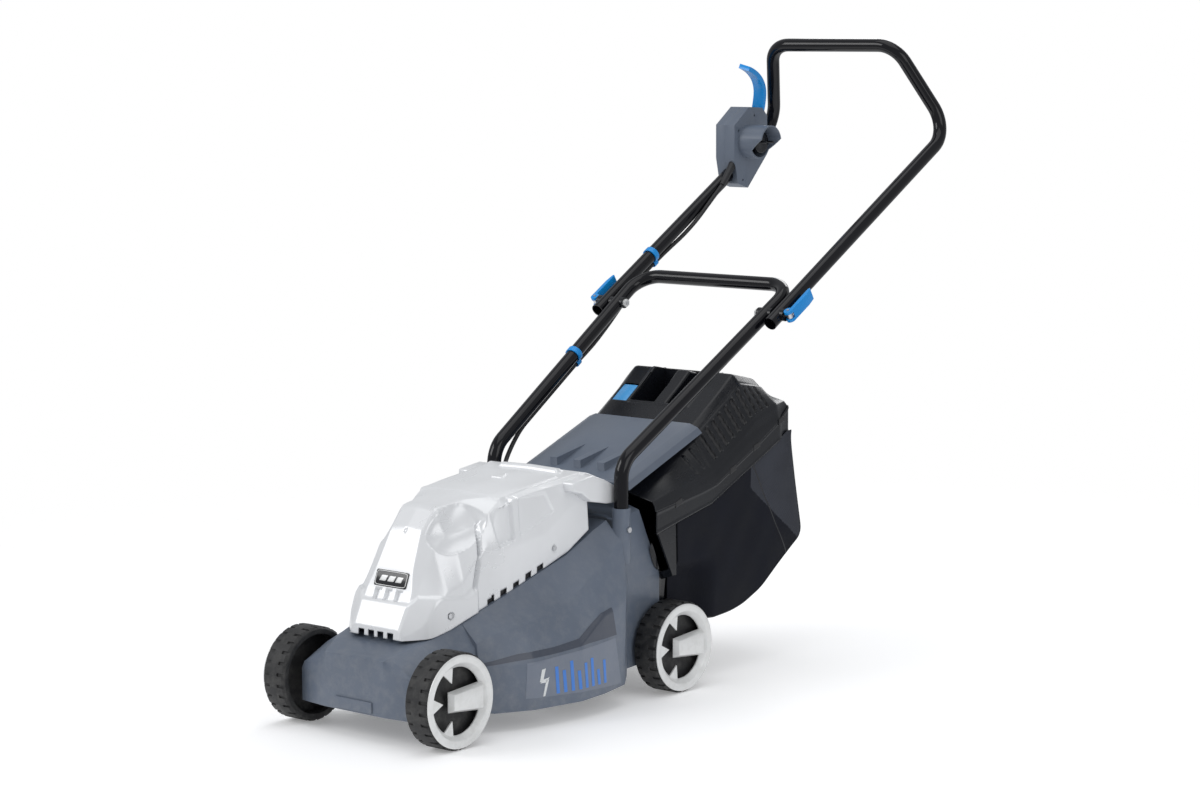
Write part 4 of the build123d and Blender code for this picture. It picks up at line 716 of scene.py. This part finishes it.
def sectionGrid(v, y):
    # half outlines at each y, with a crowned middle, then mirrored:
    # rows along the machine, columns from the left rim over the top to the right rim
    at = np.array([row[0] for row in v["stations"]], float)
    tops = [row[1][0][1] + v["crown"] * (row[0] > v["crownFrom"]) for row in v["stations"]]
    half = np.array([[(0, top)] + row[1] for top, row in zip(tops, v["stations"])], float)
    line = np.stack([[np.interp(y, at, half[:, k, c]) for c in (0, 1)] for k in range(half.shape[1])])
    line = blurred(line, 3, 2)
    parts = []
    for k, count in enumerate(v["spans"]):
        t = np.linspace(0, 1, count, endpoint=k == len(v["spans"]) - 1)[:, None, None]
        parts.append(line[k][None] * (1 - t) + line[k + 1][None] * t)
    side = np.concatenate(parts)
    x, z = blurred(side[:, 0], 2, 0), blurred(side[:, 1], 2, 0)
    x[0] = 0
    x = np.concatenate([x[::-1], -x[1:]]).T
    z = np.concatenate([z[::-1], z[1:]]).T
    return x, z


def outward(x, y, z):
    # unit normals of a grid of points, turned so that its middle column faces up
    p = np.stack([x, y, z], -1)
    n = np.cross(np.gradient(p, axis=1), np.gradient(p, axis=0))
    n /= np.linalg.norm(n, axis=-1)[..., None] + 1e-9
    return n if np.sum(n[:, n.shape[1] // 2, 2]) > 0 else -n


def window(value, low, high, soft):
    # one inside low..high, falling to nothing over soft on both sides
    rise = smoothStep(value, low - soft / 2, low + soft / 2)
    fall = smoothStep(value, high - soft / 2, high + soft / 2)
    return rise * (1 - fall)


def leaning(edge, z):
    # straight edge given as (behind the axle, at this height, lean for each unit up)
    y, foot, lean = edge
    return y + lean * (z - foot)


def coverRelief(v, x, y, z):
    # how far each point of the smooth shell moves out (plus) or in (minus), in millimetres
    side = np.abs(x)
    bandTop = heightAlong(v["bandTop"], y)
    below = 1 - smoothStep(z, bandTop - 1, bandTop + 4)
    band = v["band"] * below * (1 - smoothStep(y, v["bandEnd"] - 3, v["bandEnd"] + 3))
    # scoop: a leaning ellipse hollowed into both flanks, deepest in its middle
    s = v["scoop"]
    q = ((y - s["y"]) / s["long"]) ** 2 + ((z - s["z"] - s["lean"] * (y - s["y"])) / s["tall"]) ** 2
    inside = np.clip(1 - q, 0, 1)
    scoop = s["deep"] * inside ** 0.7 * smoothStep(side, *s["flank"])
    # posts: the flank turns in from the panel's edge towards a groove, outside the scoop
    p = v["post"]
    panelEnd, groove = leaning(v["panelEdge"], z), leaning(v["groove"], z)
    upright = smoothStep(z, bandTop + 2, bandTop + 8) * (1 - smoothStep(z, *p["top"]))
    turned = p["turn"] * np.clip((y - panelEnd) / (groove - panelEnd), 0, 1) * (y < groove)
    cut = p["cut"] * window(y, groove - p["cutHalf"], groove + p["cutHalf"], 2.0)
    posts = (turned + cut) * upright * smoothStep(side, *p["flank"]) * (1 - inside ** 0.5)
    # recess and raised block above the middle line
    midLine = heightAlong(v["midLine"], y)
    above = smoothStep(z, midLine - 0.6, midLine + 1.8) * smoothStep(side, *v["midFlank"])
    above = above * (1 - smoothStep(z, *v["midTop"]))
    recess = v["recess"]["deep"] * window(y, leaning(v["postEdge"], z) + 3, v["recess"]["end"], 5) * above
    b = v["block"]
    rear = leaning(b["rear"], z)
    block = b["proud"] * smoothStep(y, *b["front"]) * (1 - smoothStep(y, rear, rear + 3)) * above
    # on the top: a plate, a pointed mark on it and a half-round ridge behind
    c = v["plate"]
    plate = c["proud"] * window(y, *c["y"], 4) * (1 - smoothStep(side, *c["side"])) * smoothStep(z, *c["z"])
    m = v["mark"]
    onTop = z > v["topFrom"]
    mark = m["proud"] * (side < (m["tip"] - y) * m["slope"]) * (y > m["base"]) * (y < m["tip"]) * onTop
    r = v["ridge"]
    arch = np.sqrt(np.clip(1 - ((y - r["y"]) / r["half"]) ** 2, 0, 1))
    ridge = r["proud"] * arch * (1 - smoothStep(side, *r["side"])) * onTop
    dentY, dentZ, dentR = v["dent"]
    away = np.hypot(side, np.hypot(y - dentY, z - dentZ))
    dent = v["dentDeep"] * (1 - smoothStep(away, dentR - 2, dentR))
    # three steps let into the front
    f = v["step"]
    steps = sum(window(x, at - f["half"], at + f["half"], 1.5) for at in f["x"])
    steps = steps * f["deep"] * window(z, *f["z"], 2) * (y < f["end"])
    move = band + plate + mark + ridge - scoop - posts - recess - block - dent - steps
    for screwY, screwZ in v["screws"]:
        near = (1 - smoothStep(np.hypot(y - screwY, z - screwZ), 4.6, 6.2)) * (side > 60)
        move = move * (1 - near) - v["screwDeep"] * near
    return move


def prism(outline, x0, x1):
    # flat plate standing between two x values, its outline given as (behind the axle, height)
    ring = np.array(outline, float)
    ends = []
    for x in (x0, x1):
        ends.append(np.stack([np.full(len(ring), x / 1000), back(ring[:, 0]), ring[:, 1] / 1000], -1))
    n = len(ring)
    walls = [[k, k + n, (k + 1) % n + n, (k + 1) % n] for k in range(n)]
    faces = [list(range(n)), list(range(2 * n - 1, n - 1, -1))] + walls
    return np.concatenate(ends), faces


def rounded(piece, width):
    # normals set outward, then every edge over 30 degrees rounded
    work = bmesh.new()
    work.from_mesh(piece.data)
    bmesh.ops.recalc_face_normals(work, faces=work.faces)
    work.to_mesh(piece.data)
    work.free()
    bevel = piece.modifiers.new("rounding", "BEVEL")
    bevel.width, bevel.segments, bevel.angle_limit = width, 3, math.radians(30)
    bevel.limit_method = "ANGLE"
    piece.data.shade_smooth()
    piece.data.set_sharp_from_angle(angle=math.radians(34))


def makeCover(v):
    y = np.linspace(v["stations"][0][0] + 0.4, v["stations"][-1][0], v["rows"])
    x, z = sectionGrid(v, y)
    y = np.broadcast_to(y[:, None], x.shape)
    n = outward(x, y, z)
    moved = np.stack([x, y, z], -1) + n * (coverRelief(v, x, y, z)[..., None] + 0.1)
    # front face: rows dropped straight down from the first one, then cut for the vents
    foot = moved[:1].copy()
    foot[..., 2] = v["frontFoot"]
    foot[..., 1] -= 0.6
    steps = np.linspace(0, 1, v["frontRows"] + 1)[:-1, None, None]
    front = foot * (1 - steps) + moved[:1] * steps
    whole = np.concatenate([front, moved])
    faces = gridFaces(*whole.shape[:2])
    middle = ((whole[:-1, :-1] + whole[1:, 1:]) / 2).reshape(-1, 3)
    mx, my, mz = middle.T
    rim = np.interp(my, [row[0] for row in v["stations"]], [row[1][-1][1] for row in v["stations"]])
    gone = np.zeros(len(middle), bool)
    for toothY, width in v["teeth"]:
        gone |= (np.abs(my - toothY) < width / 2) & (mz < rim + v["toothTall"]) & (np.abs(mx) > 60)
    for ventX in v["vents"]:
        gone |= (np.abs(mx - ventX) < v["ventHalf"]) & (my < 6) & (mz < v["ventTop"])
    world = np.stack([whole[..., 0] / 1000, back(whole[..., 1]), whole[..., 2] / 1000], -1)
    skin = toMesh("motorCoverSkin", world, faces[~gone][:, ::-1].tolist(), "deck",
                  finishes["cover_plastic"], replaced=("motor_cover",))
    skin.data.set_sharp_from_angle(angle=math.radians(38))
    thick = skin.modifiers.new("shell", "SOLIDIFY")
    thick.thickness, thick.offset = v["shell"] / 1000, -1
    # painted shade: a dark sheet set just inside the shell, seen through the vents and the lower notches
    # where the inside of the cover lies in shadow
    inner = moved - n * v["shadeSheetGap"]
    keep = (np.abs(x) > 40) | (y < 20)
    inner = np.stack([inner[..., 0] / 1000, back(inner[..., 1] + 2.5 * (y < 20)), inner[..., 2] / 1000], -1)
    shadeSheetFaces = gridFaces(*x.shape)[(keep[:-1, :-1] & (z[:-1, :-1] < 240)).ravel()][:, ::-1]
    toMesh("motorCoverShadeSheet", inner, shadeSheetFaces.tolist(), "deck", finishes["cable_jacket"])
    wing, saddle = v["wing"], v["saddle"]
    parts = [prism(wing, 90, 117.2), prism(wing, -90, -117.2), prism(saddle, -98, 98)]
    for name, (points, sides) in zip(("leftBridge", "rightBridge", "rearSaddle"), parts):
        rounded(toMesh(name, points, sides, "deck", finishes["cover_plastic"]), 0.0028)


makeCover(cover)
print("cover skin made")


# grass box lid and band, drawn through their own cross-sections
# lengths in millimetres, lines as (behind the axle, height)
lid = {
    "stations": [
        (450, [(84, 312), (100, 306), (146, 296), (150, 281.5)]),
        (562, [(95, 362), (104, 357), (146, 318), (150, 299)]),
        (600, [(96, 389), (106, 382), (146, 330), (150, 307)]),
        (678, [(98, 444), (109, 433), (146, 377), (150, 345)]),
        (704, [(99, 465), (110, 454), (145, 393), (150, 358)]),
        (762, [(96, 452), (108, 442), (144, 412), (149, 389)]),
        (792, [(88, 428), (100, 424), (134, 416), (141, 408)]),
    ],
    "rows": 260, "spans": (34, 14, 40, 16), "crown": 0.6, "crownFrom": 0, "shell": 2.0, "wall": 1.5,
    "slotFirst": 604.0, "slotPitch": 15.0, "slotCount": 10, "slotWide": 6.0, "slotDeep": 3.0, "slant": 6,
    "slotFrom": 0.14, "slotTo": 0.84, "ribs": (560, 576), "ribWide": 3.2, "flange": 1.6,
    "pocket": (58, 640, 728, 392), "window": (-94.6, -65.4, 637, 672), "rollFoot": 398, "rollBack": 7,
    "bar": [
        (639, 415.5), (678, 443), (704, 464), (729, 457.5), (729, 438), (704, 444), (680, 424), (639, 396),
    ],
    "bandFoot": [
        (440, 243), (510, 260), (586, 277), (657, 310), (729, 342), (770, 361), (784, 365), (806, 365),
    ],
    "clips": (505, 640, 700, 765),
}


def lidRelief(v, x, y):
    # how far the lid's shell moves out, and where its louvre slots are; u runs from shoulder to edge
    side = np.abs(x)
    at = [row[0] for row in v["stations"]]
    shoulder = np.interp(y, at, [row[1][1][0] for row in v["stations"]])
    edge = np.interp(y, at, [row[1][2][0] for row in v["stations"]])
    u = (side - shoulder) / (edge - shoulder)
    slots = np.zeros(x.shape)
    for k in range(v["slotCount"]):
        middle = v["slotFirst"] + k * v["slotPitch"] + v["slant"] * u
        slots = np.maximum(slots, window(y, middle - v["slotWide"] / 2, middle + v["slotWide"] / 2, 1.6))
    slots = slots * window(u, v["slotFrom"], v["slotTo"], 0.03)
    frame = 1.2 * window(y, 592, 764, 2.5) * window(u, 0.06, 0.92, 0.05)
    starts = [start + v["slant"] * u for start in v["ribs"]]
    ribs = 1.6 * sum(window(y, start, start + v["ribWide"], 2.0) for start in starts)
    ribs = ribs * window(u, 0.2, 0.86, 0.05)
    flange = v["flange"] * smoothStep(side, 146.5, 148.5) * (y < 785)
    # lip round the carry pocket: along its two sides, then across its two ends
    half, front, rear = v["pocket"][:3]
    lip = 1.2 * window(side, half, half + 5, 1.5) * window(y, front - 5, rear + 5, 1.5)
    across = window(y, front - 5, front, 1.5) + window(y, rear, rear + 5, 1.5)
    lip += 1.2 * (side < half + 3) * across
    return frame + ribs + flange + lip - v["slotDeep"] * slots, slots


def makeLid(v):
    y = np.linspace(v["stations"][0][0], v["stations"][-1][0], v["rows"])
    x, z = sectionGrid(v, y)
    y = np.broadcast_to(y[:, None], x.shape)
    move, slots = lidRelief(v, x, y)
    moved = np.stack([x, y, z], -1) + outward(x, y, z) * move[..., None]
    halfPocket, pocketFront, pocketBack, pocketFloor = v["pocket"]
    # the rear end rolls over and runs down inside the band
    turn = np.linspace(0, np.pi / 2, 9)[1:]
    roll = moved[-1:].repeat(len(turn) + 1, axis=0)
    drop = np.append(1 - np.cos(turn), 1.0)[:, None]
    share = np.append(np.full(len(turn), 0.32), 1.0)[:, None]
    roll[..., 1] += v["rollBack"] * np.append(np.sin(turn), 1.0)[:, None]
    roll[..., 0] *= 1 - 0.05 * drop
    roll[..., 2] += (v["rollFoot"] - roll[..., 2]) * drop * share
    whole = np.concatenate([moved, roll])
    faces = gridFaces(*whole.shape[:2])
    centre = ((whole[:-1, :-1] + whole[1:, 1:]) / 2).reshape(-1, 3)
    cx, cy = centre[:, 0], centre[:, 1]
    wx0, wx1, wy0, wy1 = v["window"]
    gone = (np.abs(cx) < halfPocket) & (cy > pocketFront) & (cy < pocketBack)
    gone |= (cx > wx0) & (cx < wx1) & (cy > wy0) & (cy < wy1)
    world = np.stack([whole[..., 0] / 1000, back(whole[..., 1]), whole[..., 2] / 1000], -1)
    skin = toMesh("boxLidSkin", world, faces[~gone][:, ::-1].tolist(), "grass_box",
                  finishes["black_plastic"], replaced=("box_lid",))
    # painted shade: the louvre slots take a second, rougher near-black finish, standing in for the shadow
    # inside the open slots
    skin.data.materials.append(finishes["cable_jacket"])
    slotShade = np.zeros((whole.shape[0] - 1, whole.shape[1] - 1), np.int32)
    slotShade[:slots.shape[0] - 1] = slots[:-1, :-1] > 0.5
    skin.data.polygons.foreach_set("material_index", slotShade.ravel()[~gone])
    skin.data.set_sharp_from_angle(angle=math.radians(38))
    thick = skin.modifiers.new("shell", "SOLIDIFY")
    thick.thickness, thick.offset = v["shell"] / 1000, -1
    # tub under the pocket: four walls that end just under the lid, and a floor
    wall, front, rear = v["wall"], pocketFront - 1, pocketBack + 1
    ys = np.linspace(front, rear, 30)
    at = [row[0] for row in v["stations"]]
    tops = np.interp(ys, at, [row[1][0][1] for row in v["stations"]]) - 0.6
    flank = list(zip(ys, tops)) + [(rear, pocketFloor), (front, pocketFloor)]
    walls = [prism(flank, s * halfPocket, s * (halfPocket + wall)) for s in (1, -1)]
    for y0, top in ((pocketFront - wall, tops[0]), (pocketBack, tops[-1])):
        end = [(y0, pocketFloor), (y0 + wall, pocketFloor), (y0 + wall, top), (y0, top)]
        walls.append(prism(end, -halfPocket, halfPocket))
    under = pocketFloor - wall
    floor = [(front, under), (rear, under), (rear, pocketFloor), (front, pocketFloor)]
    walls.append(prism(floor, -halfPocket, halfPocket))
    black = finishes["black_plastic"]
    points, sides = joined(walls)
    rounded(toMesh("lidTub", points, sides, "grass_box", black), 0.0002)
    points, sides = prism(v["bar"], -13, 13)
    rounded(toMesh("lidCarryBar", points, sides, "grass_box", black), 0.0035)


def bandPath(v, count):
    # along the left side, round the rear corner and across to the right side, with top and foot at each point
    at = [row[0] for row in v["stations"]]
    sideY = np.linspace(452, 784, count)
    sideX = np.interp(sideY, at, [row[1][3][0] for row in v["stations"]]) + 0.4
    sideX = np.maximum(sideX, 149.4 - 6 * smoothStep(sideY, 750, 800))
    turn = np.linspace(0, np.pi / 2, 14)[1:]
    cornerX = sideX[-1] - 16 * (1 - np.cos(turn))
    cornerY = 784 + 16 * np.sin(turn)
    acrossX = np.linspace(cornerX[-1], 0, 24)[1:]
    x = np.concatenate([sideX, cornerX, acrossX])
    y = np.concatenate([sideY, cornerY, np.full(len(acrossX), cornerY[-1])])
    top = np.interp(y, at, [row[1][3][1] for row in v["stations"]]) + 1.0
    foot = heightAlong(v["bandFoot"], y)
    signs = ((x, -1), (y, 1), (top, 1), (foot, 1))
    return tuple(np.concatenate([run, sign * run[-2::-1]]) for run, sign in signs)


def makeBand(v):
    x, y, top, foot = bandPath(v, 140)
    t = np.linspace(0, 1, 14)[None, :]
    wayX, wayY = np.gradient(x), np.gradient(y)
    length = np.hypot(wayX, wayY)
    outX, outY = wayY / length, -wayX / length
    # top bead, flat face, small bead along the foot
    swell = 0.9 * np.exp(-((t - 0.94) / 0.05) ** 2) + 0.9 * np.exp(-((t - 0.06) / 0.05) ** 2)
    px = x[:, None] + outX[:, None] * swell
    py = y[:, None] + outY[:, None] * swell
    pz = foot[:, None] + (top - foot)[:, None] * t
    world = np.stack([px / 1000, back(py), pz / 1000], -1)
    piece = toMesh("boxBandSkin", world, gridFaces(*px.shape)[:, ::-1].tolist(), "grass_box",
                   finishes["black_plastic"], replaced=("box_band",))
    thick = piece.modifiers.new("shell", "SOLIDIFY")
    thick.thickness, thick.offset = 0.0016, 0
    hooks = []
    for side in (1, -1):
        for at in v["clips"]:
            rim = np.interp(at, [row[0] for row in v["stations"]], [row[1][3][1] for row in v["stations"]])
            slant = [(at - 8, rim - 9), (at + 8, rim - 3), (at + 8, rim + 6), (at - 8, rim)]
            hooks.append(prism(slant, side * 149.2, side * 152.2))
    points, sides = joined(hooks)
    rounded(toMesh("boxHooks", points, sides, "grass_box", finishes["cable_jacket"]), 0.0008)


makeLid(lid)
makeBand(lid)
print("lid and band made")


# printed panel on the deck's side
panel = {
    "corners": [(152, 98), (330, 110), (346, 38), (150, 46)], "lift": 0.0003,
    "swooshTop": [(56, 99), (141, 112), (204, 115), (250, 121), (277, 139), (298, 152), (322, 157)],
    "swooshFoot": [(56, 97), (141, 103), (204, 106), (268, 112), (333, 114)], "slant": 11,
    "zigzag": [
        [(176, 86), (183, 87), (178, 68), (172, 68)],
        [(178, 71), (190, 73), (184, 66), (173, 66)],
        [(184, 70), (189, 70), (182, 46), (178, 46)],
    ],
    "bars": [
        (200, 0.2, 0.85), (214, 0.2, 0.7), (228, 0.2, 0.95), (242, 0.2, 0.6),
        (256, 0.2, 0.8), (270, 0.2, 0.9), (284, 0.2, 0.5), (298, 0.2, 0.75),
    ],
}


def quadPatch(corners, n, m):
    # bilinear patch between four (distance behind the axle, height) corners, out beyond the deck's side
    a, b, c, d = (np.array(p, float) for p in corners)
    u, w = np.meshgrid(np.linspace(0, 1, n), np.linspace(0, 1, m), indexing="ij")
    top, foot = ((1 - u)[..., None] * p + u[..., None] * q for p, q in ((a, b), (d, c)))
    flat = (1 - w)[..., None] * top + w[..., None] * foot
    return np.stack([np.full(u.shape, 0.23), back(flat[..., 0]), flat[..., 1] / 1000], -1)


def swoosh(v, n, m):
    # leaf between two lines on the side, its rear edge leaning backwards towards the foot
    u, w = np.meshgrid(np.linspace(0, 1, n), np.linspace(0, 1, m), indexing="ij")
    y = v["swooshTop"][0][0] + (v["swooshTop"][-1][0] - v["swooshTop"][0][0]) * u + v["slant"] * w * u ** 4
    z = heightAlong(v["swooshTop"], y) * (1 - w) + heightAlong(v["swooshFoot"], y) * w
    return np.stack([np.full(u.shape, 0.23), back(y), z / 1000], -1)


def printOn(name, patches, finish, lift):
    # patches laid along -X onto the deck and kept a hair above it
    parts = [(patch, gridFaces(*patch.shape[:2])[:, ::-1]) for patch in patches]
    points, faces = joined(parts)
    piece = toMesh(name, points, faces, None, finish)
    lay = piece.modifiers.new("lay", "SHRINKWRAP")
    lay.target = shownPieces["deck"]
    lay.wrap_method = "PROJECT"
    lay.use_project_x, lay.use_negative_direction, lay.use_positive_direction = True, True, False
    lay.offset = lift
    laid = bpy.data.meshes.new_from_object(piece.evaluated_get(bpy.context.evaluated_depsgraph_get()))
    piece.modifiers.clear()
    piece.data = laid
    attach(piece, "deck")


darkPanel = plastic("swooshSlate", (0.05, 0.06, 0.085), 0.28, 0.36, 0.3, 0.05, 0.05, 0.15)
palePanel = plastic("panelSlate", (0.16, 0.185, 0.235), 0.3, 0.4, 0.3, 0.05, 0.1, 0.15)
printedBlue = plastic("printedBlue", (0.05, 0.2, 0.62), 0.3, 0.4, 0.3, 0.05, 0.05, 0.1)
printedWhite = plastic("printedWhite", (0.7, 0.72, 0.73), 0.35, 0.45, 0.3, 0.05, 0.2, 0.1)
printOn("sidePanel", [quadPatch(panel["corners"], 50, 22)], palePanel, panel["lift"])
printOn("sideSwoosh", [swoosh(panel, 90, 16)], darkPanel, panel["lift"] * 1.5)
printOn("sideZigzag", [quadPatch(q, 6, 8) for q in panel["zigzag"]], printedWhite, panel["lift"] * 2)
bars = []
for y, foot, top in panel["bars"]:
    low, high = 44 + 12 * foot, 46 + 48 * top
    bars.append(quadPatch([(y, high), (y + 6, high), (y + 9, low), (y + 3, low)], 4, 10))
printOn("sideBars", bars, printedBlue, panel["lift"] * 2)
print("panel printed")


badge = {"foot": (0, 34.2, 220.6), "half": (30.2, 10.4), "proud": 1.75, "rise": (13, 34)}


def badgePoint(v, across, up, out):
    # a point on the badge's own plane: across along X, up along its slope, out along its normal
    rearward, upward = v["rise"]
    slope = np.array([0, rearward, upward]) / math.hypot(rearward, upward)
    normal = np.array([0, -upward, rearward]) / math.hypot(rearward, upward)
    p = v["foot"] + np.array([1, 0, 0]) * across[..., None] + slope * up[..., None] + normal * out[..., None]
    return np.stack([p[..., 0] / 1000, back(p[..., 1]), p[..., 2] / 1000], -1)


def makeBadge(v):
    turn = np.linspace(0, 2 * np.pi, 96, endpoint=False)
    across = v["half"][0] * np.sign(np.cos(turn)) * np.abs(np.cos(turn)) ** 0.22
    up = v["half"][1] * np.sign(np.sin(turn)) * np.abs(np.sin(turn)) ** 0.22
    centre = badgePoint(v, across, up, np.full(96, v["proud"]))
    around = np.concatenate([centre, centre[:1]])
    bead = pipe(around, 0.0006, 6)
    shapes = [(bead, gridFaces(97, 6, closed=True))]
    for x0, x1 in ((-22, -9), (-6, 7), (10, 22)):
        a, b = np.meshgrid(np.linspace(x0, x1, 10), np.linspace(-4.5, 4.5, 8), indexing="ij")
        arch = np.clip(1 - ((2 * a - x0 - x1) / (x1 - x0)) ** 8, 0, 1) * np.clip(1 - (b / 4.5) ** 8, 0, 1)
        lift = v["proud"] + 0.5 * arch
        shapes.append((badgePoint(v, a + 0.35 * b, b, lift - 0.2), gridFaces(10, 8)))
    points, faces = joined(shapes)
    toMesh("badgeRim", points, faces, "deck", finishes["wheel_silver"])


makeBadge(badge)
print("badge made")

low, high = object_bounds()
